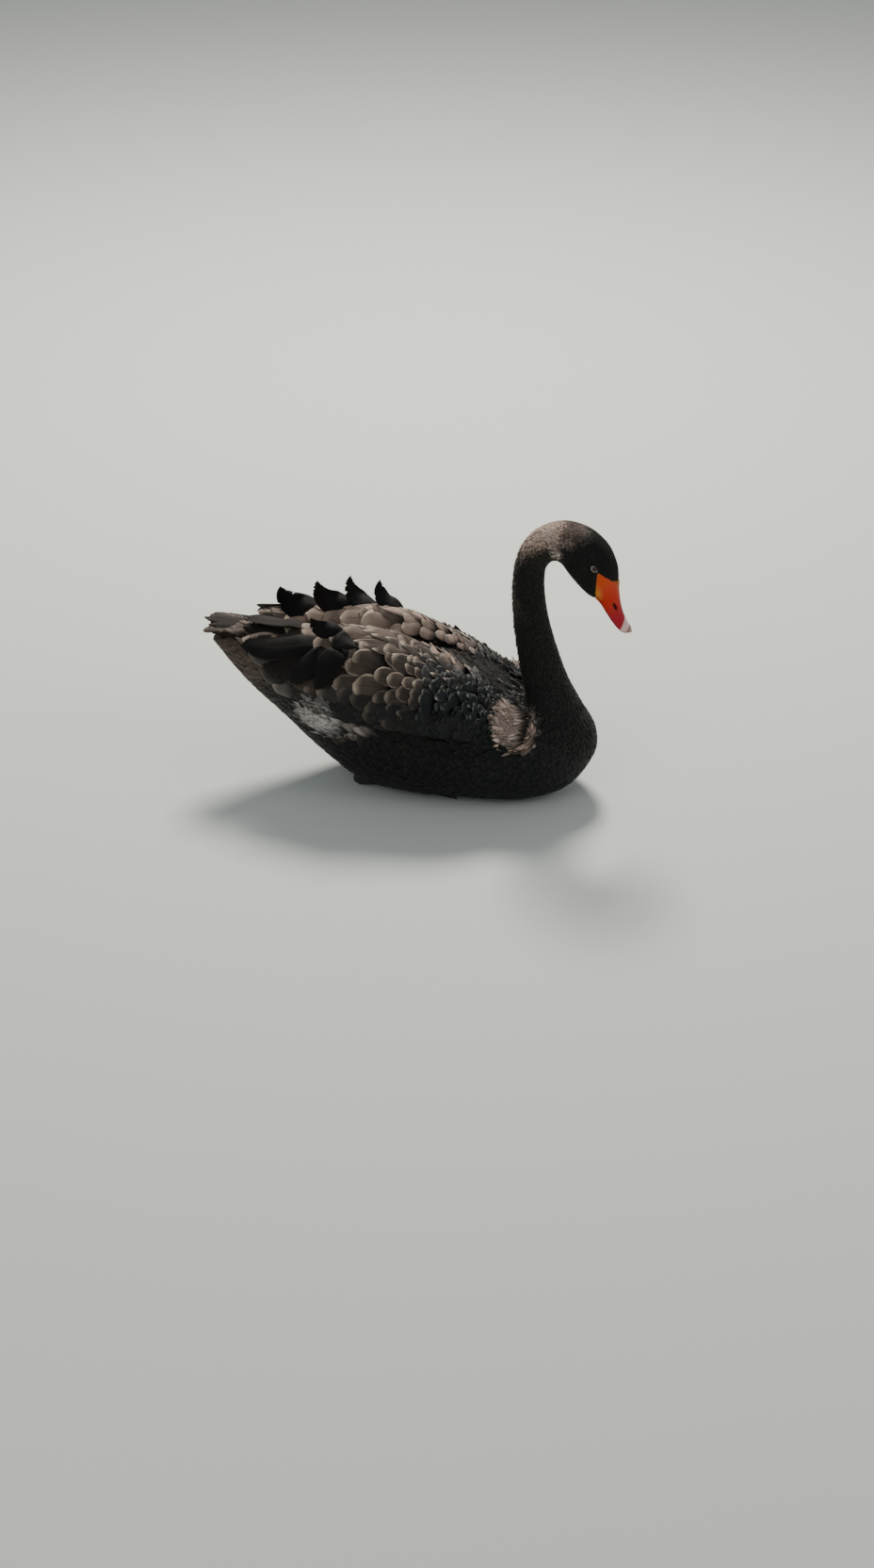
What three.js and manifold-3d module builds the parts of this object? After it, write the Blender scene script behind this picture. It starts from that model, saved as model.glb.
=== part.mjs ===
// A black swan at life size, resting on its belly with its feet tucked under it, the neck raised in
// an S and the bill pointing down. Millimetres, +X towards the breast, +Y to the bird's left, +Z up.
// The floor is z = 0, and the origin lies on it under the middle of the body.
import * as THREE from "three";
import Module from "manifold-3d";

const wasm = await Module();
wasm.setup();
const { Manifold, Mesh: SolidMesh } = wasm;

const GAP = 0.3; // left between pieces that touch
const MOUTH_GAP = 0.5; // the closed bill's line of mouth
const FLOOR_REACH = 500; // half the size of the block that trims the belly flat
const AROUND = 24; // sides of the body's cross-sections
const DETAIL = 0.05; // the smallest step kept after a cut or join
const GRID = 0.01;
const CLEAN_PASSES = 3;
const LEFT = 1;
const RIGHT = -1;

// Cross-sections from the rump to the bill's tip. Each lies in the plane through a point on the back
// and one on the belly, both [x, z] in the bird's middle plane. `half` is the half width, found at
// the share `widest` of the way up from the belly. `top` and `under` say how square each half is.
const section = (back, belly, half, widest = 0.5, top = 2, under = 2) =>
  [...back, ...belly, half, widest, top, under];
const TRUNK = [
  section([-338, 241], [-344, 224], 20, 0.5),
  section([-288, 244], [-286, 156], 44, 0.58),
  section([-235, 247], [-218, 98], 68, 0.6),
  section([-175, 249], [-150, 43], 94, 0.56, 2, 2.1),
  section([-100, 248], [-80, 4], 117, 0.5, 2, 2.3),
  section([-10, 246], [0, -5], 127, 0.46, 2.1, 2.5),
  section([70, 234], [95, -5], 127, 0.46, 2.1, 2.5),
  section([125, 210], [190, -2], 119, 0.48, 2.1, 2.4),
  section([160, 187], [262, 20], 103, 0.5, 2, 2.2),
  section([180, 174], [300, 70], 82, 0.54),
];
const NECK = [
  section([184, 182], [302, 112], 60, 0.55),
  section([178, 210], [280, 154], 45, 0.52),
  section([171, 246], [250, 214], 36),
  section([163, 305], [222, 302], 29),
  section([160, 362], [212, 360], 26),
  section([163, 405], [212, 397], 26),
  section([176, 445], [218, 413], 26),
  section([203, 475], [228, 421], 27),
];
const HEAD = [
  section([241, 489], [240, 418], 30),
  section([282, 480], [253, 400], 33, 0.5, 2.1),
  section([313, 454], [269, 382], 34, 0.5, 2.2, 2.1),
  section([329, 422], [284, 368], 30, 0.5, 2.1, 2.2),
  section([333, 394], [295, 361], 23, 0.48, 2, 2.2),
];
const BILL = [
  section([334, 373], [305, 351], 19, 0.42, 2, 2.4),
  section([337, 352], [314, 337], 16.5, 0.4, 2, 2.6),
  section([342, 334], [325, 321], 15.5, 0.4, 2.2, 2.8),
  section([349, 319], [338, 307], 15, 0.4, 2.4, 2.8),
  section([354, 311], [346, 302.5], 11, 0.45, 2.4, 2.6),
  section([355.5, 307], [351, 302.5], 5, 0.5),
];
const SECTIONS = [...TRUNK, ...NECK, ...HEAD, ...BILL];
const NECK_BASE = TRUNK.length - 0.5;
const TRUNK_ROWS = 15;
const NECK_LOW = NECK_BASE + 2.9;
const NECK_HIGH = NECK_LOW + 2.1;
const HEAD_BACK = TRUNK.length + NECK.length - 0.4;
const BILL_TIP = SECTIONS.length - 1;

// The folded wing's outer surface: one row of four points [y, z] every WING_STEP, from the shoulder
// back to past the tail's root: in the groove along the back, on the ridge, on the side, at the edge.
const WING_FRONT = 152;
const WING_STEP = 60;
const WING = [
  [28, 190, 60, 188, 101, 165, 118, 137],
  [20, 225, 58, 227, 109, 191, 129, 145],
  [10, 247, 50, 257, 115, 214, 135, 152],
  [6, 250, 46, 281, 112, 228, 134, 156],
  [6, 250, 44, 286, 108, 232, 128, 160],
  [7, 250, 42, 281, 96, 234, 114, 170],
  [9, 250, 38, 272, 80, 236, 92, 188],
  [13, 251, 32, 265, 56, 243, 64, 212],
  [14, 252, 24, 262, 34, 252, 40, 232],
];
// The solid under the wing's feathers: its ends at the groove, how far each is cut back towards the
// lower edge, how far below the groove its heart lies, and how far in towards that the solid goes.
const WING_CORE = { front: 152, rear: -246, frontSweep: 22, rearSweep: 62, heart: 55, fill: 0.55 };

// Smooth curve through evenly spaced rows of numbers.
function through(rows, u) {
  const last = rows.length - 1;
  const i = Math.min(Math.max(Math.floor(u), 0), last - 1);
  const t = u - i;
  const [a, b, c, d] = [i - 1, i, i + 1, i + 2].map((k) => rows[Math.min(Math.max(k, 0), last)]);
  return b.map((_, k) => {
    const [p, q, r, s] = [a[k], b[k], c[k], d[k]];
    return q + 0.5 * t * (r - p + t * (2 * p - 5 * q + 4 * r - s + t * (3 * (q - r) + s - p)));
  });
}

const mix = (a, b, t) => a + (b - a) * t;
const range = (n) => Array.from({ length: n }, (_, k) => k);
const radians = THREE.MathUtils.degToRad;
const vec = (x, y, z) => new THREE.Vector3(x, y, z);

// A closed solid from shared points and triangles, turned to face outwards.
function solid(points, triangles) {
  const make = (list) =>
    new Manifold(
      new SolidMesh({
        numProp: 3,
        vertProperties: new Float32Array(points.flatMap((p) => [p.x, p.y, p.z])),
        triVerts: new Uint32Array(list.flat()),
      }),
    );
  const made = make(triangles);
  return made.volume() > 0 ? made : make(triangles.map(([a, b, c]) => [a, c, b]));
}

// A closed body through rings of points, with flat ends. The second half of each ring is split the
// other way, so that a thin blade has the same triangles on both faces.
function skinned(rings) {
  const sides = rings[0].length;
  const points = rings.flat();
  const triangles = [];
  for (let k = 0; k + 1 < rings.length; k++)
    for (let j = 0; j < sides; j++) {
      const a = k * sides + j;
      const b = k * sides + ((j + 1) % sides);
      const [c, d] = [a + sides, b + sides];
      if (j < sides / 2) triangles.push([a, b, d], [a, d, c]);
      else triangles.push([a, b, c], [b, d, c]);
    }
  for (const [start, turn] of [[0, true], [(rings.length - 1) * sides, false]]) {
    const fan = (a, b, c) => triangles.push(turn ? [a, c, b] : [a, b, c]);
    if (sides <= 6) for (let j = 1; j + 1 < sides; j++) fan(start, start + j, start + j + 1);
    else {
      const centre = points.length;
      const ring = points.slice(start, start + sides);
      points.push(ring.reduce((sum, p) => sum.add(p), vec(0, 0, 0)).divideScalar(sides));
      for (let j = 0; j < sides; j++) fan(centre, start + j, start + ((j + 1) % sides));
    }
  }
  return solid(points, triangles);
}

// A closed three.js geometry as a solid, its points set to a grid of GRID so that doubled ones merge.
function fromGeometry(geometry) {
  const position = geometry.getAttribute("position");
  const index = geometry.index;
  const seen = new Map();
  const points = [];
  const merged = range(position.count).map((k) => {
    const cell = [position.getX(k), position.getY(k), position.getZ(k)].map((c) => Math.round(c / GRID));
    const key = cell.join();
    if (!seen.has(key)) seen.set(key, points.push(vec(...cell).multiplyScalar(GRID)) - 1);
    return seen.get(key);
  });
  const corners = index ? Array.from(index.array, (k) => merged[k]) : merged;
  const triangles = range(corners.length / 3).map((k) => corners.slice(3 * k, 3 * k + 3));
  return solid(points, triangles.filter(([a, b, c]) => a !== b && b !== c && a !== c));
}

const largest = (made) =>
  made.decompose().reduce((best, part) => (part.volume() > best.volume() ? part : best));

// The geometry of a solid, kept as its largest closed surface, with steps below DETAIL left out.
function geometryOf(made) {
  const read = (whole) => {
    const mesh = whole.getMesh();
    const geometry = new THREE.BufferGeometry();
    geometry.setAttribute("position", new THREE.BufferAttribute(mesh.vertProperties, 3));
    return geometry.setIndex(new THREE.BufferAttribute(mesh.triVerts, 1));
  };
  let whole = largest(made.simplify(DETAIL));
  for (let pass = 0; pass < CLEAN_PASSES; pass++) whole = largest(fromGeometry(read(whole)));
  return read(whole);
}

const join = (pieces) => Manifold.union(pieces);

// A prism across the whole bird, from a shape drawn in the middle plane as [x, z] points.
function prism(outline, reach = 120) {
  const drawn = new THREE.Shape(outline.map(([x, z]) => new THREE.Vector2(x, z)));
  const bar = new THREE.ExtrudeGeometry(drawn, { depth: 2 * reach, bevelEnabled: false });
  return fromGeometry(bar.rotateX(Math.PI / 2).translate(0, reach, 0));
}

// One ring of the body at station u, grown outwards by `grow` and moved along the bird by `shift`.
function bodyRing(u, grow = 0, shift = 0) {
  const [bx, bz, vx, vz, half, widest, top, under] = through(SECTIONS, u);
  const [up, centre] = [vec(bx - vx, 0, bz - vz), vec(mix(vx, bx, widest), 0, mix(vz, bz, widest))];
  const height = up.length();
  up.normalize();
  const along = vec(up.z, 0, -up.x);
  const [above, below] = [height * (1 - widest) + grow, height * widest + grow];
  return range(AROUND).map((k) => {
    const angle = (2 * Math.PI * k) / AROUND - Math.PI / 2;
    const [c, s] = [Math.cos(angle), Math.sin(angle)];
    const power = s > 0 ? 2 / top : 2 / under;
    const across = Math.sign(c) * Math.abs(c) ** power * (half + grow);
    const rise = Math.sign(s) * Math.abs(s) ** power * (s > 0 ? above : below);
    return centre.clone().addScaledVector(up, rise).add(vec(0, across, 0)).addScaledVector(along, shift);
  });
}

// A length of the body from station `from` to `to`, its cut ends drawn in by half the gap.
function bodyLength(from, to, rows, { grow = 0, openStart = false, openEnd = false } = {}) {
  return skinned(
    range(rows + 1).map((k) => {
      const shift = k === 0 && !openStart ? GAP / 2 : k === rows && !openEnd ? -GAP / 2 : 0;
      return bodyRing(mix(from, to, k / rows), grow, shift);
    }),
  );
}

// A point of the wing's outer surface: t runs from 0 in the groove to 1 at the lower edge.
function wingPoint(side, x, t) {
  const row = through(WING, (WING_FRONT - x) / WING_STEP);
  const pairs = range(row.length / 2).map((k) => row.slice(2 * k, 2 * k + 2));
  const [y, z] = through(pairs, t * (pairs.length - 1));
  return vec(x, side * y, z);
}

function wingNormal(side, x, t) {
  const step = 0.02;
  const rearward = wingPoint(side, x - 2, t).sub(wingPoint(side, x + 2, t));
  const down = wingPoint(side, x, t + step).sub(wingPoint(side, x, t - step));
  return rearward.cross(down).multiplyScalar(-side).normalize();
}

const wingArc = (x) =>
  range(9).reduce(
    (sum, k) => sum + wingPoint(RIGHT, x, k / 9).distanceTo(wingPoint(RIGHT, x, (k + 1) / 9)),
    0,
  );

// The wing's core. The body is cut out of it later.
function wingCore(side) {
  const rows = 9;
  const columns = 7;
  return skinned(
    range(rows + 1).map((k) => {
      const outer = range(columns + 1).map((j) => {
        const t = j / columns;
        const front = WING_CORE.front - WING_CORE.frontSweep * t * t;
        const rear = WING_CORE.rear + WING_CORE.rearSweep * t * t;
        return wingPoint(side, mix(front, rear, k / rows), t);
      });
      const heart = vec(outer[0].x, 0, outer[0].z - WING_CORE.heart);
      return [...outer, ...[columns, 0].map((j) => outer[j].clone().lerp(heart, WING_CORE.fill))];
    }),
  );
}

// How wide a feather is along its length, as [share of the length, share of the width].
const ROUND_TIP = [[0, 0.6], [0.5, 1], [0.84, 0.88], [1, 0.3]];
const LONG_TIP = [[0, 0.5], [0.3, 0.92], [0.66, 1], [0.88, 0.68], [1, 0.16]];

function widthAt(tip, share) {
  const k = Math.max(tip.findIndex(([s]) => s >= share - 1e-9), 1);
  const [[s1, w1], [s2, w2]] = [tip[k - 1], tip[k]];
  return mix(w1, w2, (share - s1) / (s2 - s1));
}

// A feather that lies on the wing: it hugs the surface, its root sunk in and its tip raised.
function covert(side, x, t, length, width) {
  const [sunk, lift, keel, dome] = [-3, 5.5, -4, 2.2];
  return skinned(
    ROUND_TIP.map(([share, wide]) => {
      const at = x - length * share;
      const reach = (width * wide) / 2 / wingArc(at);
      const rise = mix(sunk, lift, share ** 0.7);
      const place = (across, height) =>
        wingPoint(side, at, t + across).addScaledVector(wingNormal(side, at, t + across), height);
      return [place(-reach, rise), place(0, rise + dome), place(reach, rise), place(0, keel)];
    }),
  );
}

// A free feather: a thin blade along frames { at, across, up, share } from its root to its tip.
function blade(frames, width, { thick = 1.8, edge = 0.8, dome = 0.12 } = {}) {
  return skinned(
    frames.map(({ at, across, up, share }) => {
      const half = (width / 2) * widthAt(LONG_TIP, share);
      const point = (a, b) => at.clone().addScaledVector(across, a).addScaledVector(up, b);
      const crown = dome * half;
      return [
        point(-half, edge / 2),
        point(0, crown + thick / 2),
        point(half, edge / 2),
        point(half, -edge / 2),
        point(0, crown - thick / 2),
        point(-half, -edge / 2),
      ];
    }),
  );
}

// Frames along a list of points, with the direction across the blade and its twist given at each.
function framesAlong(points, shares, acrossAt, twistAt = () => 0) {
  return points.map((at, k) => {
    const before = points[Math.max(k - 1, 0)];
    const after = points[Math.min(k + 1, points.length - 1)];
    const ahead = after.clone().sub(before).normalize();
    const across = acrossAt(k).clone();
    across.addScaledVector(ahead, -across.dot(ahead)).normalize();
    across.applyAxisAngle(ahead, twistAt(shares[k]));
    return { at, across, up: across.clone().cross(ahead), share: shares[k] };
  });
}

// A long feather rooted in the wing: it leaves the surface by `lift`, and past `from` of its length
// it turns up by `curl` degrees and twists by `twist` degrees, as the loose tertials do.
const QUILL_SUNK = -4;
const QUILL_STEPS = 30;
const QUILL_SHARES = [0, 0.3, 0.5, 0.7, 0.87, 1];
const QUILL_CLEAR = 0.3; // the share of its length by which it has left the surface
function wingQuill(side, quill) {
  const { x, t, length, width, drift = 0, lift = 4, curl = 0, twist = 0, from = 0.4 } = quill;
  const step = length / QUILL_STEPS;
  const rise = (lift - QUILL_SUNK) / (QUILL_CLEAR * QUILL_STEPS);
  const points = [];
  const laterals = [];
  let [height, along] = [QUILL_SUNK, x];
  for (let k = 0; k <= QUILL_STEPS; k++) {
    const share = k / QUILL_STEPS;
    const late = Math.max(0, (share - from) / (1 - from));
    const bend = radians(curl) * late ** 0.7;
    const normal = wingNormal(side, along, t + drift * share);
    points.push(wingPoint(side, along, t + drift * share).addScaledVector(normal, height));
    laterals.push(vec(-1, 0, 0).cross(normal));
    along -= step * Math.cos(bend);
    height += step * Math.sin(bend) + (share < QUILL_CLEAR ? rise : 0);
  }
  const picked = QUILL_SHARES.map((share) => Math.round(share * QUILL_STEPS));
  const turning = (share) => radians(twist) * side * Math.max(0, (share - QUILL_CLEAR) / (1 - QUILL_CLEAR));
  const chosen = picked.map((k) => points[k]);
  return blade(framesAlong(chosen, QUILL_SHARES, (k) => laterals[picked[k]], turning), width);
}

// The tiers of rounded feathers over the wing, each row set half a feather off the one behind it.
const COVERTS = { rows: 8, each: 5, across: 5.5, rear: -214, pitch: 42, length: 66, slip: 6, slant: 14 };
function coverts(side) {
  const made = [];
  for (let row = 0; row < COVERTS.rows; row++) {
    const x = COVERTS.rear + row * COVERTS.pitch + COVERTS.length;
    const size = mix(1.05, 0.8, row / (COVERTS.rows - 1));
    const first = row % 2 ? 0.5 : 1;
    for (let k = 0; k < COVERTS.each; k++) {
      const t = (k + first) / COVERTS.across;
      const slip = COVERTS.slip * Math.sin(2.4 * k + 1.7 * row);
      const width = (wingArc(x - COVERTS.pitch) / COVERTS.across) * 0.97;
      made.push(covert(side, x + slip - COVERTS.slant * t, t, COVERTS.length * size, width));
    }
  }
  return made;
}

// Flight feathers that show behind the coverts: primaries lowest, then secondaries above them.
function flightFeathers(side) {
  const primaries = range(3).map((k) => {
    const place = { x: -160 + 8 * k, t: 0.66 - 0.1 * k, length: 142 - 8 * k };
    return wingQuill(side, { ...place, width: 25, lift: -1, drift: -0.06 });
  });
  const secondaries = range(4).map((k) => {
    const place = { x: -124 - 4 * k, t: 0.92 - 0.13 * k, length: 104 + 5 * k };
    return wingQuill(side, { ...place, width: 34, lift: 3, drift: -0.1 });
  });
  return [...primaries, ...secondaries];
}

// The loose, curled tertials, told apart left and right as the living bird wore them.
const PLUMES = {
  [RIGHT]: [
    { x: -184, t: 0.3, length: 100, width: 34, curl: 14, lift: 7, twist: 15 },
    { x: -182, t: 0.62, length: 112, width: 38, curl: 10, lift: 9, twist: -20 },
    { x: -90, t: 0.4, length: 78, width: 36, curl: 100, lift: 6, twist: 50, from: 0.34 },
    { x: -98, t: 0.58, length: 80, width: 40, curl: 70, lift: 8, twist: 34, from: 0.36 },
    { x: -134, t: 0.74, length: 84, width: 36, curl: 30, lift: 8, twist: -28 },
  ],
  [LEFT]: [
    { x: -168, t: 0.3, length: 88, width: 38, curl: 82, lift: 6, twist: -56 },
    { x: -100, t: 0.3, length: 88, width: 38, curl: 100, lift: 7, twist: -62 },
    { x: -66, t: 0.3, length: 80, width: 34, curl: 98, lift: 6, twist: -62 },
    { x: -24, t: 0.3, length: 74, width: 31, curl: 100, lift: 6, twist: -62 },
    { x: -178, t: 0.6, length: 108, width: 36, curl: 14, lift: 8, twist: 15 },
    { x: -128, t: 0.66, length: 86, width: 36, curl: 40, lift: 8, twist: 24 },
  ],
};

// The tail: a low root on the rump, with feathers fanned out of it.
const TAIL_ROOT = vec(-262, 0, 252);
const TAIL_TIP_X = -362;
const TAIL_FEATHERS = 11;
const TAIL_SPREAD = 24; // degrees, each way
function tailShape(grow = 0) {
  const root = skinned(
    [[-252, 14, 4], [-272, 27, 7.5], [-300, 36, 7], [-322, 40, 3]].map(([x, half, high]) =>
      range(12).map((k) => {
        const angle = (2 * Math.PI * k) / 12;
        const z = TAIL_ROOT.z + (TAIL_ROOT.x - x) * 0.02 + (high + grow) * Math.sin(angle);
        return vec(x, (half + grow) * Math.cos(angle), z);
      }),
    ),
  );
  const fan = range(TAIL_FEATHERS).map((k) => {
    const middle = Math.abs((2 * k) / (TAIL_FEATHERS - 1) - 1);
    const turn = radians(mix(-TAIL_SPREAD, TAIL_SPREAD, k / (TAIL_FEATHERS - 1)));
    const length = (TAIL_ROOT.x - TAIL_TIP_X) * (1.02 - 0.1 * middle ** 2);
    const drop = 7 * middle;
    const level = 2.2 * (1 - middle) + (k % 2 ? 0.9 : 0);
    const shares = [0, 0.34, 0.7, 0.88, 1];
    const points = shares.map((s) =>
      vec(
        TAIL_ROOT.x - length * s * Math.cos(turn),
        length * s * Math.sin(turn),
        TAIL_ROOT.z + level + 6 * s - drop * s * s,
      ),
    );
    const side = vec(Math.sin(turn), Math.cos(turn), -0.25 * Math.sin(turn));
    const [thick, edge] = [1.8 + 2 * grow, 0.8 + 2 * grow];
    return blade(framesAlong(points, shares, () => side), 22 + 2 * grow, { thick, edge });
  });
  return join([root, ...fan]);
}

// The eye, its socket and its lids, on the side of the head.
const EYE = { x: 296, y: 28.2, z: 424, radius: 7 };
const eyeball = (side, grow = 0) => {
  const ball = new THREE.SphereGeometry(EYE.radius + grow, 12, 7);
  return fromGeometry(ball.translate(EYE.x, side * EYE.y, EYE.z));
};

function lids(side) {
  const ring = new THREE.TorusGeometry(EYE.radius + 0.6, 1.7, 6, 12);
  ring.scale(1.16, 0.86, 1);
  const out = vec(0.3, side, 0.22).normalize();
  ring.applyQuaternion(new THREE.Quaternion().setFromUnitVectors(vec(0, 0, 1), out));
  return fromGeometry(ring.translate(EYE.x + 0.8, side * (EYE.y + 3.6), EYE.z + 0.6));
}

// Where the bill's skin meets the feathers: from the forehead to the lore, the gape and the chin.
const FOREHEAD = [333, 392];
const LORE = [304, 419];
const GAPE = [299.5, 376];
const CHIN = [296, 359];
const AHEAD = [[420, 262], [420, 420]]; // well clear of the bill
const MOUTH = [GAPE, [314, 345.5], [326, 327], [340, 311.5], [351, 304], [372, 292]];
const BILL_SIDE = [FOREHEAD, LORE, GAPE, CHIN, [276, 344], [300, 262], ...AHEAD];
const UPPER_SIDE = [FOREHEAD, LORE, ...MOUTH, ...AHEAD];
const NAIL_SIDE = [[336, 308.5], [366, 317], [384, 306], [378, 280], [340, 288]];

// The same outline made wider by an even step all round.
function widened(outline, step) {
  const points = outline.map(([x, z]) => new THREE.Vector2(x, z));
  const turn = Math.sign(THREE.ShapeUtils.area(points));
  const normals = points.map((p, k) => {
    const ahead = points[(k + 1) % points.length].clone().sub(p).normalize();
    return new THREE.Vector2(ahead.y, -ahead.x).multiplyScalar(turn);
  });
  return points.map((p, k) => {
    const [before, after] = [normals[(k + points.length - 1) % points.length], normals[k]];
    const corner = before.clone().add(after).multiplyScalar(step / (1 + before.dot(after)));
    return [p.x + corner.x, p.y + corner.y];
  });
}

function nostril(side) {
  const hole = new THREE.SphereGeometry(1, 10, 8).scale(1.5, 5, 5.4);
  hole.rotateY(radians(-28));
  return fromGeometry(hole.translate(330.5, side * 13.5, 352));
}

// The limbs, tucked under the belly.
const HEEL = vec(-86, 58, 13);
const ANKLE_UP = vec(-74, 60, 46);
const TOE_ROOT = vec(-2, 46, 9);
const TOES = [
  { turn: -16, length: 74 },
  { turn: 2, length: 92 },
  { turn: 19, length: 84 },
];

const LIMB_SIDES = 6;
const WEB_THICK = 2.6;

// A rounded bar from one point to another, flat on the floor where it reaches it.
function bar(from, to, r1, r2, grow = 0) {
  const ahead = to.clone().sub(from).normalize();
  const across = vec(-ahead.y, ahead.x, 0).normalize();
  const up = ahead.clone().cross(across).multiplyScalar(-1);
  const [start, end] = [from.clone().addScaledVector(ahead, -grow), to.clone().addScaledVector(ahead, grow)];
  return skinned(
    [[start, r1], [end, r2]].map(([at, r]) =>
      range(LIMB_SIDES).map((k) => {
        const angle = (2 * Math.PI * (k + 0.5)) / LIMB_SIDES;
        return at
          .clone()
          .addScaledVector(across, (r + grow) * Math.cos(angle))
          .addScaledVector(up, (r + grow) * Math.sin(angle));
      }),
    ),
  );
}

const onSide = (p, side) => vec(p.x, side * p.y, p.z);

function legShape(side, grow = 0) {
  const ahead = TOE_ROOT.clone().sub(HEEL).normalize();
  const end = TOE_ROOT.clone().addScaledVector(ahead, -12);
  return join([
    bar(onSide(HEEL, side), onSide(end, side), 8, 6.5, grow),
    bar(onSide(HEEL.clone().add(vec(-4, 0, -2)), side), onSide(ANKLE_UP, side), 9, 11, grow),
  ]);
}

// A webbed foot, flat on the floor: three tapered toes with claws, and the web between them.
function footShape(side, grow = 0) {
  const tips = TOES.map(({ turn, length }) => {
    const a = radians(turn);
    return vec(TOE_ROOT.x + length * Math.cos(a), TOE_ROOT.y + length * Math.sin(a), 0);
  });
  const toes = tips.map((tip) => {
    const end = vec(tip.x, tip.y, 3.2);
    return bar(onSide(vec(TOE_ROOT.x - 6, TOE_ROOT.y, 5.5), side), onSide(end, side), 5.8, 3.4, grow);
  });
  const web = [vec(TOE_ROOT.x - 4, TOE_ROOT.y, 0)];
  tips.forEach((tip, k) => {
    web.push(tip.clone().lerp(TOE_ROOT, 0.04));
    if (k < 2) web.push(tip.clone().add(tips[k + 1]).multiplyScalar(0.5).lerp(TOE_ROOT, 0.12));
  });
  const heart = web.reduce((sum, p) => sum.add(p), vec(0, 0, 0)).divideScalar(web.length);
  const wider = web.map((p) => p.clone().add(p.clone().sub(heart).setLength(3 * grow)));
  const flat = [-grow, WEB_THICK + grow].map((z) => wider.map((p) => vec(p.x, side * p.y, z)));
  return join([...toes, skinned(flat)]);
}

// The block of everything above the floor.
const aboveFloor = () => {
  const block = new THREE.BoxGeometry(2 * FLOOR_REACH, 2 * FLOOR_REACH, 2 * FLOOR_REACH);
  return fromGeometry(block.translate(0, 0, FLOOR_REACH));
};

// Colours and finishes
const paint = (color, roughness) => new THREE.MeshStandardMaterial({ color, roughness, metalness: 0 });
const FINISH = {
  plumage: paint(0x1c1917, 0.75),
  wing: paint(0x3a322c, 0.7),
  quill: paint(0x2c2622, 0.65),
  bill: paint(0xb5230f, 0.35),
  nail: paint(0xd9b3a8, 0.4),
  eye: paint(0x7a1a0c, 0.1),
  foot: paint(0x2a2a28, 0.6),
};

const swan = new THREE.Group();
function add(name, made, material) {
  const mesh = new THREE.Mesh(geometryOf(made), material);
  mesh.name = name;
  swan.add(mesh);
}

const sides = [["left", LEFT], ["right", RIGHT]];

const trunkGrown = bodyLength(0, NECK_BASE, TRUNK_ROWS, { grow: GAP, openStart: true });
const limbs = sides.map(([, side]) => [legShape(side, GAP), footShape(side, GAP)]).flat();
const trunk = bodyLength(0, NECK_BASE, TRUNK_ROWS, { openStart: true });
add("torso", trunk.intersect(aboveFloor()).subtract(join(limbs)), FINISH.plumage);

add("neck_lower", bodyLength(NECK_BASE, NECK_LOW, 6), FINISH.plumage);
add("neck_middle", bodyLength(NECK_LOW, NECK_HIGH, 3), FINISH.plumage);
add("neck_upper", bodyLength(NECK_HIGH, HEAD_BACK, 7), FINISH.plumage);

const skull = bodyLength(HEAD_BACK, BILL_TIP, 20, { openEnd: true });
const sockets = join(sides.map(([, side]) => eyeball(side, GAP)));
const lidded = join([skull, ...sides.map(([, side]) => lids(side))]);
add("head", lidded.subtract(prism(widened(BILL_SIDE, GAP))).subtract(sockets), FINISH.plumage);

const nostrils = join(sides.map(([, side]) => nostril(side)));
const upper = skull.intersect(prism(UPPER_SIDE)).subtract(nostrils);
add("bill_upper", upper.subtract(prism(widened(NAIL_SIDE, GAP))), FINISH.bill);
add("bill_nail", upper.intersect(prism(NAIL_SIDE)), FINISH.nail);
const lower = skull.intersect(prism(BILL_SIDE)).subtract(prism(widened(UPPER_SIDE, MOUTH_GAP)));
add("bill_lower", lower, FINISH.bill);
for (const [name, side] of sides) add(`eye_${name}`, eyeball(side), FINISH.eye);

add("tail", tailShape().subtract(trunkGrown), FINISH.quill);
const tailGrown = tailShape(GAP);

for (const [name, side] of sides) {
  const plumes = PLUMES[side].map((plume) => wingQuill(side, plume));
  const wing = join([wingCore(side), ...coverts(side), ...flightFeathers(side), ...plumes]);
  add(`wing_${name}`, wing.subtract(trunkGrown).subtract(tailGrown), FINISH.wing);
}
for (const [name, side] of sides) {
  add(`leg_${name}`, legShape(side).intersect(aboveFloor()).subtract(footShape(side, GAP)), FINISH.foot);
  add(`foot_${name}`, footShape(side).intersect(aboveFloor()), FINISH.foot);
}

export default swan;
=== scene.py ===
import math

import bpy
import numpy as np
from mathutils import Matrix, Vector


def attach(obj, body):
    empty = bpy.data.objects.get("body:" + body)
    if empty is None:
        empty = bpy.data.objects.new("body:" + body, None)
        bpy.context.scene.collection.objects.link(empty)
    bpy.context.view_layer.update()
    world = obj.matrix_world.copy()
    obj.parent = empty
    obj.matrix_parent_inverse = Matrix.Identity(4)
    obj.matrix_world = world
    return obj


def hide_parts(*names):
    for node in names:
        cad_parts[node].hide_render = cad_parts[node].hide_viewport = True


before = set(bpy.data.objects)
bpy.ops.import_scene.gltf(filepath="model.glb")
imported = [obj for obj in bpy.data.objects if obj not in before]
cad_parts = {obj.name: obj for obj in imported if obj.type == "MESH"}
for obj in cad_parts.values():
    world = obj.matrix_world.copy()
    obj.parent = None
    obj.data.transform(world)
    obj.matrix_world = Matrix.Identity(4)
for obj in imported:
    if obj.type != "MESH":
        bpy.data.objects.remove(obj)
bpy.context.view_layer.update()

# A black swan at life size, resting on its belly: one skin, its coat of feathers laid over it in
# tiers, folded wings with loose curled plumes, tail, bill, eyes, legs and webbed feet.
# Lengths are worked out in millimetres and put into metres where a piece is made. +X is the breast,
# +Y the bird's left, the floor is z = 0.
MM = 0.001
LEFT, RIGHT = 1, -1
SIDES = {"left": LEFT, "right": RIGHT}
FLESH = ("torso", "neck_lower", "neck_middle", "neck_upper", "head")
rng = np.random.default_rng(29)


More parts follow.
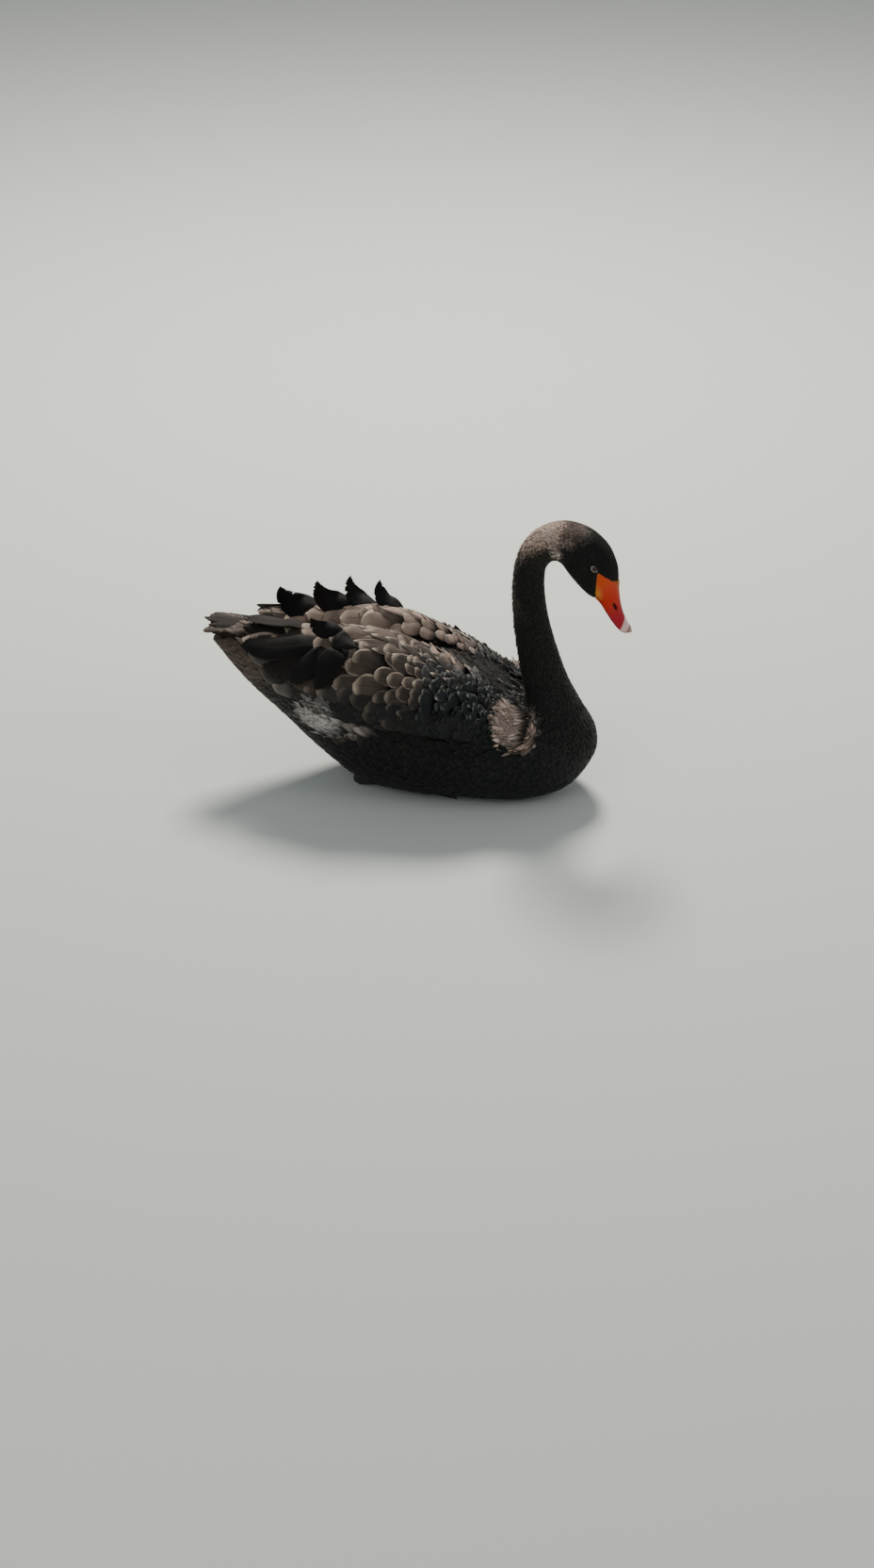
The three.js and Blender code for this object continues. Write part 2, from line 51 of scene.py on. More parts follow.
# The body's cross-sections
def section(back, belly, half, widest=0.5, top=2.0, under=2.0):
    """One cross-section between a point on the back and one on the belly, each [x, z]."""
    return [*back, *belly, half, widest, top, under]


TRUNK = [
    section([-338, 241], [-344, 224], 20, 0.5),
    section([-288, 244], [-286, 156], 44, 0.58),
    section([-235, 247], [-218, 98], 68, 0.6),
    section([-175, 249], [-150, 43], 94, 0.56, 2, 2.1),
    section([-100, 248], [-80, 4], 117, 0.5, 2, 2.3),
    section([-10, 246], [0, -5], 127, 0.46, 2.1, 2.5),
    section([70, 234], [95, -5], 127, 0.46, 2.1, 2.5),
    section([125, 210], [190, -2], 119, 0.48, 2.1, 2.4),
    section([160, 187], [262, 20], 103, 0.5, 2, 2.2),
    section([180, 174], [300, 70], 82, 0.54),
]
NECK = [
    section([184, 182], [302, 112], 60, 0.55),
    section([178, 210], [280, 154], 45, 0.52),
    section([171, 246], [250, 214], 36),
    section([163, 305], [222, 302], 29),
    section([160, 362], [212, 360], 26),
    section([163, 405], [212, 397], 26),
    section([176, 445], [218, 413], 26),
    section([203, 475], [228, 421], 27),
]
HEAD = [
    section([241, 489], [240, 418], 30),
    section([282, 480], [253, 400], 33, 0.5, 2.1),
    section([313, 454], [269, 382], 34, 0.5, 2.2, 2.1),
    section([329, 422], [284, 368], 30, 0.5, 2.1, 2.2),
    section([333, 394], [295, 361], 23, 0.48, 2, 2.2),
]
BILL = [
    section([334, 373], [305, 351], 19, 0.42, 2, 2.4),
    section([337, 352], [314, 337], 16.5, 0.4, 2, 2.6),
    section([342, 334], [325, 321], 15.5, 0.4, 2.2, 2.8),
    section([349, 319], [338, 307], 15, 0.4, 2.4, 2.8),
    section([354, 311], [346, 302.5], 11, 0.45, 2.4, 2.6),
    section([355.5, 307], [351, 302.5], 5, 0.5),
]
STATIONS = np.array(TRUNK + NECK + HEAD + BILL, float)
NECK_BASE = len(TRUNK) - 0.5
HEAD_BACK = len(TRUNK) + len(NECK) - 0.4
BILL_BASE = len(TRUNK) + len(NECK) + len(HEAD) - 1.0
BILL_TIP = len(STATIONS) - 1.0
RUMP_END = -0.3

# The folded wing's outer surface, a row every WING_STEP from the shoulder back: in the groove along
# the back, on the ridge, on the side and at the lower edge, each [y, z].
WING_FRONT = 152.0
WING_STEP = 60.0
WING = np.array(
    [
        [28, 190, 60, 188, 101, 165, 118, 137],
        [20, 225, 58, 227, 109, 191, 129, 145],
        [10, 247, 50, 257, 115, 214, 135, 152],
        [6, 250, 46, 281, 112, 228, 134, 156],
        [6, 250, 44, 286, 108, 232, 128, 160],
        [7, 250, 42, 281, 96, 234, 114, 170],
        [9, 250, 38, 272, 80, 236, 92, 188],
        [13, 251, 32, 265, 56, 243, 64, 212],
        [14, 252, 24, 262, 34, 252, 40, 232],
    ],
    float,
)

# Where the bill's skin meets the feathers, and the line of mouth, in the middle plane as [x, z]
FOREHEAD = [333, 392]
LORE = [304, 419]
GAPE = [299.5, 376]
CHIN = [296, 359]
AHEAD = [[420, 262], [420, 420]]
MOUTH = [GAPE, [314, 345.5], [326, 327], [340, 311.5], [351, 304], [372, 292]]
BILL_SIDE = [FOREHEAD, LORE, GAPE, CHIN, [276, 344], [300, 262], *AHEAD]
UPPER_SIDE = [FOREHEAD, LORE, *MOUTH, *AHEAD]

EYE = {"x": 296.0, "y": 29.0, "z": 424.0, "radius": 6.2}


# Curves and surfaces
def ease(low, high, value):
    """0 below low, 1 above high, smooth between them; low may be the larger."""
    t = np.clip((value - low) / (high - low), 0, 1)
    return t * t * (3 - 2 * t)


def cubic(t, a, b, c, d):
    """A smooth curve from b at t = 0 to c at t = 1, with a before and d after them."""
    return b + 0.5 * t * (c - a + t * (2 * a - 5 * b + 4 * c - d + t * (3 * (b - c) + d - a)))


def through(rows, u):
    """Smooth curve through evenly spaced rows of numbers, at the places u."""
    last = len(rows) - 1
    i = np.clip(np.floor(u).astype(int), 0, last - 1)
    return cubic((u - i)[..., None], *(rows[np.clip(i + k, 0, last)] for k in (-1, 0, 1, 2)))


def along_line(points):
    """How far each point of a line lies from its first one, measured along it."""
    return np.concatenate([[0], np.cumsum(np.linalg.norm(np.diff(points, axis=0), axis=1))])


def unit(v):
    return v / np.maximum(np.linalg.norm(v, axis=-1, keepdims=True), 1e-9)


def body_point(u, turn):
    """Points of the body at stations u; turn is 0 on the left side and a quarter turn on the back.
    Before the first station the rump is rounded off."""
    u, turn = np.broadcast_arrays(np.asarray(u, float), np.asarray(turn, float))
    u = np.maximum(u, RUMP_END)
    bx, bz, vx, vz, half, widest, top, under = np.moveaxis(through(STATIONS, u), -1, 0)
    height = np.hypot(bx - vx, bz - vz)
    rounded = np.sqrt(1 - 0.97 * np.clip(u / RUMP_END, 0, 1) ** 2)
    c, s = np.cos(turn), np.sin(turn)
    power = np.where(s > 0, 2 / top, 2 / under)
    across = np.sign(c) * np.abs(c) ** power * half * rounded
    extent = np.where(s > 0, height * (1 - widest), height * widest) * rounded
    rise = np.sign(s) * np.abs(s) ** power * extent / height
    x = vx + (bx - vx) * (widest + rise)
    z = vz + (bz - vz) * (widest + rise)
    return np.stack([x, across, z], -1)


def wing_point(side, x, t):
    """Points of a wing's outer surface: t is 0 in the groove and 1 at the lower edge."""
    x, t = np.broadcast_arrays(np.asarray(x, float), np.asarray(t, float))
    pairs = through(WING, (WING_FRONT - x) / WING_STEP).reshape(*x.shape, 4, 2)
    last = 3
    u = t * last
    i = np.clip(np.floor(u).astype(int), 0, last - 1)
    picked = [np.clip(i + k, 0, last)[..., None, None] for k in (-1, 0, 1, 2)]
    yz = cubic((u - i)[..., None], *(np.take_along_axis(pairs, k, axis=-2)[..., 0, :] for k in picked))
    return np.stack([x, side * yz[..., 0], yz[..., 1]], -1)


class Surface:
    """A surface that feathers lie on. Its first number runs forward along the bird."""

    def __init__(self, point, steps, facing, unwrap):
        self.point = point
        self.steps = steps
        self.facing = facing
        self.unwrap = unwrap

    def slopes(self, a, b):
        """How the point moves along each number, and the direction out of the surface."""
        da, db = self.steps
        pa = (self.point(a + da, b) - self.point(a - da, b)) / (2 * da)
        pb = (self.point(a, b + db) - self.point(a, b - db)) / (2 * db)
        return pa, pb, unit(np.cross(pa, pb)) * self.facing


BODY = Surface(
    body_point,
    (0.02, 0.01),
    -1,
    lambda a, b: np.stack([a / BILL_TIP, (b / (2 * math.pi) + 0.25) % 1.0], -1),
)
WINGS = {
    side: Surface(
        lambda x, t, side=side: wing_point(side, x, t),
        (1.0, 0.01),
        side,
        lambda a, b: np.stack([(a + 340) / 540, 0.1 + 0.8 * b], -1),
    )
    for side in (LEFT, RIGHT)
}


# Meshes
def put(name, data):
    """A new object in the scene."""
    made = bpy.data.objects.new(name, data)
    bpy.context.scene.collection.objects.link(made)
    return made


class Shape:
    """Points and faces gathered for one piece, in millimetres."""

    def __init__(self):
        self.parts = []
        self.count = 0

    def add(self, points, loops, sizes, uv, smooth, **values):
        """Faces are runs of point numbers, as many each as sizes says; uv has one pair a corner."""
        points = np.asarray(points, float).reshape(-1, 3)
        values = {k: np.broadcast_to(np.asarray(v, float).ravel(), len(points)) for k, v in values.items()}
        self.parts.append((points, np.asarray(loops) + self.count, sizes, smooth, uv, values))
        self.count += len(points)

    def piece(self, name, finish, replaces=()):
        """Makes the piece, which rides with the bird."""
        points, loops, sizes, smooth, uv = (np.concatenate([p[k] for p in self.parts]) for k in range(5))
        mesh = bpy.data.meshes.new(name)
        mesh.vertices.add(len(points))
        mesh.vertices.foreach_set("co", (points * MM).astype(np.float32).ravel())
        mesh.loops.add(len(loops))
        mesh.loops.foreach_set("vertex_index", loops.astype(np.int32))
        mesh.polygons.add(len(sizes))
        mesh.polygons.foreach_set("loop_start", (np.cumsum(sizes) - sizes).astype(np.int32))
        mesh.polygons.foreach_set("use_smooth", smooth)
        layer = mesh.uv_layers.new(name="OFBake")
        layer.uv.foreach_set("vector", uv.astype(np.float32).ravel())
        for key in sorted({k for p in self.parts for k in p[5]}):
            spread = [p[5].get(key, np.zeros(len(p[0]))) for p in self.parts]
            attribute = mesh.attributes.new(key, "FLOAT", "POINT")
            attribute.data.foreach_set("value", np.concatenate(spread).astype(np.float32))
        mesh.validate()
        mesh.update()
        made = put(name, mesh)
        mesh.materials.append(finish)
        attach(made, "root")
        if replaces:
            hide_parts(*replaces)


def grid_faces(rows, columns):
    """Faces between rings of points, and the place of each corner from 0 to 1 both ways."""
    r, c = np.mgrid[0 : rows - 1, 0:columns]
    corners = [(r, c), (r, c + 1), (r + 1, c + 1), (r + 1, c)]
    quads = np.stack([i * columns + j % columns for i, j in corners], -1).reshape(-1, 4)
    uv = np.stack([np.stack([i / (rows - 1), j / columns], -1) for i, j in corners], -2)
    return quads, uv.reshape(-1, 4, 2)


def add_loft(shape, rings, corner=(0, 0), span=(1, 1), caps=True, **values):
    """A closed skin through rings of points, facing outwards, its ends closed by flat faces."""
    rows, columns = rings.shape[:2]
    quads, uv = grid_faces(rows, columns)
    a, b, c, d = (rings.reshape(-1, 3)[quads[:, k]] for k in range(4))
    volume = np.einsum("ij,ij->", a, np.cross(b, c)) + np.einsum("ij,ij->", a, np.cross(c, d))
    ends = [np.arange(columns)[::-1], np.arange(columns) + (rows - 1) * columns]
    if volume < 0:
        quads, uv = quads[:, ::-1], uv[:, ::-1]
        ends = [e[::-1] for e in ends]
    loops, sizes, smooth = quads.ravel(), np.full(len(quads), 4), np.ones(len(quads), bool)
    uv = uv.reshape(-1, 2)
    if caps:
        loops = np.concatenate([loops, *ends])
        sizes = np.append(sizes, [columns, columns])
        smooth = np.append(smooth, [False, False])
        uv = np.concatenate([uv, np.zeros((columns, 2)), np.ones((columns, 2))])
    shape.add(rings, loops, sizes, np.array(corner) + uv * np.array(span), smooth, **values)


# Finishes
def tint(code):
    """A colour written as RRGGBB, in the light values that the shaders use."""
    parts = [int(code[k : k + 2], 16) / 255 for k in (0, 2, 4)]
    return (*(p / 12.92 if p <= 0.04045 else ((p + 0.055) / 1.055) ** 2.4 for p in parts), 1.0)


class Value:
    """A number that varies over a surface. Sums on it become Math nodes."""

    def __init__(self, finish, socket):
        self.finish = finish
        self.socket = socket

    def math(self, operation, *others, clamp=False):
        settings = {"operation": operation, "use_clamp": clamp}
        return self.finish.node("ShaderNodeMath", settings, dict(enumerate(others)))

    def __add__(self, other):
        return self.math("ADD", self, other)

    def __sub__(self, other):
        return self.math("SUBTRACT", self, other)

    def __rsub__(self, other):
        return self.math("SUBTRACT", other, self)

    def __mul__(self, other):
        return self.math("MULTIPLY", self, other)

    def __abs__(self):
        return self.math("ABSOLUTE", self)

    __radd__ = __add__
    __rmul__ = __mul__

    def most(self, other):
        return self.math("MAXIMUM", self, other)

    def wave(self):
        return self.math("SINE", self)

    def clear(self):
        """Kept between 0 and 1."""
        return self.math("ADD", self, 0.0, clamp=True)

    def between(self, low, high):
        """0 at low and 1 at high, smooth between them."""
        settings = {"interpolation_type": "SMOOTHSTEP"}
        return self.finish.node("ShaderNodeMapRange", settings, {"Value": self, 1: low, 2: high})


class Finish:
    """A material built on one shader, with the constants of its sockets by name."""

    def __init__(self, name, **constants):
        self.material = bpy.data.materials.new(name)
        self.material.use_nodes = True
        self.tree = self.material.node_tree
        self.shader = self.tree.nodes["Principled BSDF"]
        for key, value in constants.items():
            self.shader.inputs[key.replace("_", " ").title().replace("Ior", "IOR")].default_value = value

    def node(self, kind, settings, values, output=0):
        """Any node: its settings are set first, then the values or links of its sockets."""
        made = self.tree.nodes.new(kind)
        for key, value in settings.items():
            setattr(made, key, value)
        for key, value in values.items():
            if isinstance(value, Value):
                self.tree.links.new(value.socket, made.inputs[key])
            else:
                made.inputs[key].default_value = value
        return Value(self, made.outputs[output])

    def reading(self, name):
        """A value that the mesh carries."""
        settings = {"attribute_type": "GEOMETRY", "attribute_name": name}
        return self.node("ShaderNodeAttribute", settings, {}, "Fac")

    def place(self):
        return self.node("ShaderNodeTexCoord", {}, {}, "Object")

    def stretched(self, vector, scale):
        return self.node("ShaderNodeVectorMath", {"operation": "MULTIPLY"}, {0: vector, 1: scale})

    def noise(self, scale, detail, vector=None):
        values = {"Vector": vector or self.place(), "Scale": scale, "Detail": detail, "Roughness": 0.55}
        return self.node("ShaderNodeTexNoise", {}, values, "Fac")

    def blend(self, factor, a, b, blend_type="MIX"):
        """A colour from a at 0 to b at 1."""
        settings = {"data_type": "RGBA", "blend_type": blend_type, "clamp_factor": True}
        return self.node("ShaderNodeMix", settings, {0: factor, 6: a, 7: b}, 2)

    def dim(self, colour, value):
        """A colour times a number."""
        grey = self.node("ShaderNodeCombineXYZ", {}, {0: value, 1: value, 2: value})
        return self.blend(1.0, colour, grey, "MULTIPLY")

    def bump(self, height, strength, distance):
        values = {"Height": height, "Strength": strength, "Distance": distance}
        self.feed("Normal", self.node("ShaderNodeBump", {}, values))

    def feed(self, socket, value):
        self.tree.links.new(value.socket, self.shader.inputs[socket])


def plumage_finish(name, dark, brown, slate, rim, roughness, gloss, barbs, fade=0.3):
    """Feathers. The mesh says how far along and across each vane a point lies, how brown, blue-grey
    or pale the feather is, how strong its pale rim is, and its own chance tone. Pale is sun-bleaching,
    and in places a painted highlight. The pale rim is partly the feather's real pale edge and partly a
    painted highlight on its tip and sides. Each vane is painted darker towards its root, a painted
    shade where the feather above overlaps it. barbs sets how fine the stripes are, and fade how far
    the pale rim reaches in."""
    f = Finish(name, specular_ior_level=gloss, sheen_weight=0.04, sheen_roughness=0.5)
    along, across, tone = f.reading("along"), f.reading("across"), f.reading("tone")
    cool = f.reading("cool")
    edge = abs(across)
    mottle = f.noise(46.0, 4.0)
    fine = f.noise(420.0, 3.0)
    colour = f.blend((f.reading("warm") * (0.7 + 0.6 * mottle)).clear(), tint(dark), tint(brown))
    colour = f.blend((cool * (0.6 + 0.8 * mottle)).clear(), colour, tint(slate))
    # Pale is sun-bleaching, and partly a painted highlight on the crown, the top of the neck's bend and the
    # wing's upper ridge.
    bleach_and_highlight = (f.reading("pale") * (0.1 + 0.9 * tone + 0.9 * mottle) * along.between(0.05, 0.7)).clear()
    colour = f.blend(bleach_and_highlight, colour, f.blend((1.4 * cool).clear(), tint("cdb1a1"), tint("c6c6c2")))
    # The pale rim is partly the feather's real pale edge and partly a painted highlight where light catches
    # the vane's tip and sides.
    fringe_and_highlight = along.between(1.0 - fade, 1.0).most(edge.between(1.0 - fade, 1.0) * along.between(0.15, 0.6))
    fringe_and_highlight = (fringe_and_highlight * fringe_and_highlight * (0.5 + 1.0 * mottle) * f.reading("rim")).clear()
    colour = f.blend(fringe_and_highlight, colour, tint(rim))
    quill = (1.0 - edge.between(0.0, 0.07)) * along.between(0.05, 0.3) * (1.0 - along.between(0.84, 0.95))
    colour = f.blend(quill * 0.35, colour, tint("0d0b0a"))
    stripe = (along * barbs + edge * (barbs * 0.42)).wave()
    # Each vane is painted darker towards its root: painted shade where the feather above overlaps it. The
    # chance tone and the fine noise are the feather's own.
    level = (0.42 + 0.85 * tone) * (0.3 + 0.7 * along.between(0.0, 0.6)) * (0.84 + 0.32 * fine)
    f.feed("Base Color", f.dim(colour, level * (1.0 + 0.06 * stripe)))
    f.feed("Roughness", (roughness + 0.16 * (fine - 0.5) + 0.1 * fringe_and_highlight).clear())
    f.bump(stripe * 0.22 + quill * 1.2 + fine * 0.5, 0.5, 0.0004)
    return f.material


def skin_finish():
    """The down beneath the feathers, with the same markings, painted highlights among them."""
    f = Finish("down_skin", specular_ior_level=0.15)
    mottle = f.noise(46.0, 4.0)
    colour = f.blend(f.reading("warm"), tint("090908"), tint("241c17"))
    colour = f.blend((f.reading("pale") * (0.35 + 0.9 * mottle)).clear(), colour, tint("75675e"))
    fine = f.noise(900.0, 3.0)
    f.feed("Base Color", f.dim(colour, 0.6 + 0.8 * fine))
    f.feed("Roughness", 0.8 + 0.15 * fine)
    f.bump(fine, 0.6, 0.0008)
    return f.material


def bill_finish():
    """Waxy bill: orange at the base, scarlet, then deep crimson, with the pale band near the tip. The
    band slants back from the ridge of the bill to the mouth."""
    f = Finish("bill_wax", specular_ior_level=0.2, coat_weight=0.06, coat_roughness=0.3)
    along, edge, low = f.reading("along"), f.reading("edge"), f.reading("low")
    broad, fine = f.noise(60.0, 3.0), f.noise(620.0, 4.0)
    drift = along + (broad - 0.5) * 0.14
    colour = f.blend(drift.between(-0.3, 0.22), tint("c24206"), tint("b92605"))
    colour = f.blend(drift.between(0.2, 0.7), colour, tint("a01626"))
    ridge = 1.0 - low.between(0.0, 0.35)
    colour = f.blend(ridge * (1.0 - drift.between(0.02, 0.16)) * 0.8, colour, tint("8c6a1c"))
    corner = low.between(0.72, 0.95) * (1.0 - drift.between(0.02, 0.2))
    colour = f.blend(corner * 0.6, colour, tint("c8952f"))
    reach = along + (broad - 0.5) * 0.04 - low * 0.15
    band = reach.between(0.68, 0.72)
    colour = f.blend(band * (0.8 + 0.3 * broad), colour, tint("d9bdb4"))
    colour = f.blend((along - low * 0.04).between(0.87, 0.93), colour, tint("8e5a52"))
    colour = f.blend((1.0 - edge.between(0.0, 0.03)) * 0.3, colour, tint("a87a44"))
    # Painted shade: darker along the line of mouth, where the two halves of the bill meet.
    colour = f.blend(low.between(0.95, 0.995) * edge.between(0.0, 0.1) * 0.75, colour, tint("30080a"))
    # Painted shade: near-black in the nostrils' hollows, and fainter over the faces that close the inside of
    # the mouth.
    colour = f.blend(f.reading("hollow"), colour, tint("2a0504"))
    f.feed("Base Color", f.dim(colour, 0.84 + 0.32 * fine))
    f.feed("Roughness", 0.4 + 0.2 * fine)
    f.bump(fine * 0.6 + broad, 0.35, 0.0005)
    return f.material


def nail_finish():
    """The horny nail at the bill's tip, dark along its edge."""
    f = Finish("nail_horn", specular_ior_level=0.5, coat_weight=0.2, coat_roughness=0.3)
    grain = f.noise(500.0, 4.0, f.stretched(f.place(), (1.0, 4.0, 1.0)))
    colour = f.blend(grain, tint("a07a70"), tint("bd9a90"))
    colour = f.blend(f.reading("edge"), colour, tint("3d1c1a"))
    f.feed("Base Color", colour)
    f.feed("Roughness", 0.35 + 0.15 * grain)
    f.bump(grain, 0.3, 0.0003)
    return f.material


def eye_finish():
    """The eye: a dark pupil in a red iris with fine spokes, under a wet surface."""
    f = Finish("eye_wet", roughness=0.08, specular_ior_level=0.4, coat_weight=0.4, coat_roughness=0.03)
    ring = f.reading("ring")
    spokes = f.noise(1500.0, 4.0)
    iris = f.blend(spokes, tint("240705"), tint("5c150a"))
    colour = f.blend(ring.between(0.36, 0.42), tint("040303"), iris)
    colour = f.blend(ring.between(0.62, 0.72), colour, tint("140606"))
    f.feed("Base Color", colour)
    return f.material


def lid_finish():
    """Bare lids, pale along their rim and dark where they meet the feathers."""
    f = Finish("lid_skin", specular_ior_level=0.15)
    grain = f.noise(1400.0, 3.0)
    rim = f.reading("edge") * (0.25 + 1.1 * f.noise(330.0, 2.0).between(0.36, 0.6))
    colour = f.blend(rim.clear(), tint("0d0c0a"), tint("b3a996"))
    f.feed("Base Color", f.dim(colour, 0.75 + 0.5 * grain))
    f.feed("Roughness", 0.5 + 0.2 * grain)
    f.bump(grain, 0.4, 0.0003)
    return f.material


def foot_finish():
    """Dark grey scaled skin of the legs and webs."""
    f = Finish("foot_scales", specular_ior_level=0.4)
    settings = {"feature": "DISTANCE_TO_EDGE"}
    values = {"Vector": f.place(), "Scale": 420.0}
    cells = f.node("ShaderNodeTexVoronoi", settings, values, "Distance")
    scale = cells.between(0.0, 0.18)
    broad = f.noise(40.0, 3.0)
    colour = f.blend(broad, tint("1d1d1c"), tint("3c3a37"))
    f.feed("Base Color", f.dim(colour, 0.5 + 0.6 * scale))
    f.feed("Roughness", 0.62 - 0.12 * scale)
    f.bump(scale + broad * 0.4, 0.6, 0.0007)
    return f.material


BLACK_COAT = plumage_finish("black_coat", "0c0e0d", "332a23", "1f2426", "4d463f", 0.62, 0.16, 160.0)
HEAD_COAT = plumage_finish("head_coat_finish", "080b08", "3d332c", "151a17", "8b8478", 0.6, 0.16, 60.0)
WING_COAT = plumage_finish("wing_coat", "13110f", "4a3e34", "24292b", "ab9a8a", 0.6, 0.2, 330.0, 0.36)
RIDGE_COAT = plumage_finish("ridge_coat", "12100e", "463a31", "24292b", "c2b4a3", 0.58, 0.2, 420.0, 0.2)
TAIL_COAT = plumage_finish("tail_coat", "0a0908", "261d17", "191c1d", "5a4f45", 0.6, 0.14, 420.0, 0.16)
LESSER_COAT = plumage_finish("lesser_coat", "0c0f10", "2a2420", "192023", "87847e", 0.6, 0.2, 180.0, 0.24)
PLUME_COAT = plumage_finish("plume_coat", "050404", "24150e", "0c1013", "2c241e", 0.55, 0.12, 560.0, 0.1)
SKIN = skin_finish()
BILL_WAX = bill_finish()
NAIL_HORN = nail_finish()
EYE_WET = eye_finish()
LID_SKIN = lid_finish()
FOOT_SCALES = foot_finish()


# Markings, the same on both sides. A patch is an egg: its middle and its reach each way.
BREAST_PATCH = (191, 84, 154), (26, 42, 42)
FLANK_PATCH = (-134, 100, 136), (38, 46, 26)
FLANK_TRAIL = (-100, 110, 144), (50, 46, 22)
CHEEK_STREAK = (250, 27, 463), (17, 14, 7)
CHEEK_DABS = (((234, 26, 442), 0.95), ((228, 26, 456), 0.7), ((223, 22, 471), 0.7))
# The crown patch is a painted highlight where light falls on the top of the head.
CROWN_HIGHLIGHT = (256, 14, 482), (32, 28, 24)
SHOULDER_PATCH = (184, 84, 158), (26, 44, 38)
ARCH_X, ARCH_Z = 235, 385  # the middle of the neck's upper bend


def spot(points, centre, radii):
    """1 inside an egg-shaped patch, fading out over its rim."""
    reach = np.linalg.norm((points - np.array(centre)) / np.array(radii), axis=-1)
    return ease(1.25, 0.6, reach)


def markings(points):
    """How brown, blue-grey and pale the plumage is at points of the body or wings. Pale is
    bleaching, with a painted highlight on the crown and, in part, on the top of the neck's bend.
    """
    x, y, z = points[..., 0], points[..., 1], points[..., 2]
    folded = np.stack([x, np.abs(y), z], -1)
    breast = 0.9 * spot(folded, *BREAST_PATCH)
    flank = np.maximum(0.75 * spot(folded, *FLANK_PATCH), 0.45 * spot(folded, *FLANK_TRAIL))
    reach = np.hypot(x - ARCH_X, z - ARCH_Z)
    round_arch = np.arctan2(z - ARCH_Z, ARCH_X - x)
    # The top of the neck's bend is paler: partly pale plumage, partly a painted highlight where light falls
    # on it.
    arch = 1.4 * ease(60, 88, reach) * ease(0.35, 1.0, round_arch) * ease(1.76, 1.44, round_arch)
    nape = 0.4 * ease(68, 80, reach) * ease(-1.1, 0.7, round_arch) * ease(1.4, 1.0, round_arch)
    nape = nape * (z > 250) * (x < ARCH_X)
    cheek = 0.4 * spot(folded, *CHEEK_STREAK)
    for middle, strength in CHEEK_DABS:
        cheek = np.maximum(cheek, strength * spot(folded, middle, (8, 13, 11)))
    crown = 0.22 * spot(folded, *CROWN_HIGHLIGHT)
    rump = 0.14 * ease(-215, -260, x) * ease(150, 200, z)
    pale = np.maximum.reduce([breast, flank, arch, nape, cheek, crown, rump])
    warm = 0.3 * ease(120, 230, z) * ease(150, 60, x) + 0.5 * ease(-190, -290, x)
    warm = np.maximum(warm, 0.5 * ease(400, 450, z) * ease(262, 225, x))
    cool = 0.3 * ease(60, 160, x) * ease(260, 200, z) + 0.25 * ease(250, 290, x) * ease(400, 440, z)
    cool = np.maximum(cool, np.maximum(0.8 * flank, 0.3 * cheek))
    return {"pale": pale, "warm": warm * (1 - np.clip(flank, 0, 1)), "cool": cool}


# Feathers
SCATTER = 3.5  # how far off its place a feather reads its markings, so that the patches fray
WAVE = 6.28  # one turn of the waves along a vane's edge
TIP_CROWDING = 1.45  # over 1 puts more of a vane's rows near its tip
FORMS = {  # where a vane is widest, and how its end is rounded
    "round": (0.52, 2.3, 2.0),
    "soft": (0.45, 2.0, 1.5),
    "long": (0.5, 2.0, 1.25),
    "spade": (0.56, 2.3, 1.8),
    "fin": (0.4, 1.6, 1.25),
}


def vane_width(form, share):
    """How wide a vane is along its length, as a share of its full width."""
    widest, p, q = FORMS[form]
    past = np.clip((share - widest) / (1 - widest), 0, 1)
    return np.where(
        share < widest,
        0.4 + 0.6 * np.sin(0.5 * math.pi * np.clip(share, 0, 1) / widest),
        (1 - past**p) ** (1 / q),
    )


def vane_faces(rows, columns):
    """Faces of one closed vane: its domed top, the flat underside, and the two short ends."""
    top = [
        [r * columns + c, (r + 1) * columns + c, (r + 1) * columns + c + 1, r * columns + c + 1]
        for r in range(rows - 1)
        for c in range(columns - 1)
    ]
    last = columns - 1
    under = [
        [r * columns, r * columns + last, (r + 1) * columns + last, (r + 1) * columns]
        for r in range(rows - 1)
    ]
    ends = [list(range(columns)), list(range(rows * columns - 1, (rows - 1) * columns - 1, -1))]
    faces = top + under + ends
    loops = np.concatenate([np.array(f) for f in faces])
    return loops, np.array([len(f) for f in faces]), np.arange(len(faces)) < len(top)


def add_vanes(shape, points, along, across, uv_root, patch, **values):
    """Many vanes of rows x columns points each. Each is a patch of the map about its root's place."""
    count, rows, columns = points.shape[:3]
    loops, sizes, smooth = vane_faces(rows, columns)
    all_loops = (loops[None] + np.arange(count)[:, None] * rows * columns).ravel()
    spread = np.stack([along - 0.5, across * 0.5], -1).reshape(count, -1, 2) * patch
    uv = (uv_root[:, None] + spread).reshape(-1, 2)[all_loops]
    each = {k: np.repeat(v, rows * columns) for k, v in values.items()}
    shape.add(
        points, all_loops, np.tile(sizes, count), uv, np.tile(smooth, count), along=along, across=across,
        **each,
    )


def template(rows, columns):
    """Shares along a vane, closer towards its tip, and places across it."""
    along = 1 - (1 - np.linspace(0, 1, rows)) ** TIP_CROWDING
    return along[:, None] * np.ones(columns), np.ones((rows, 1)) * np.linspace(-1, 1, columns)


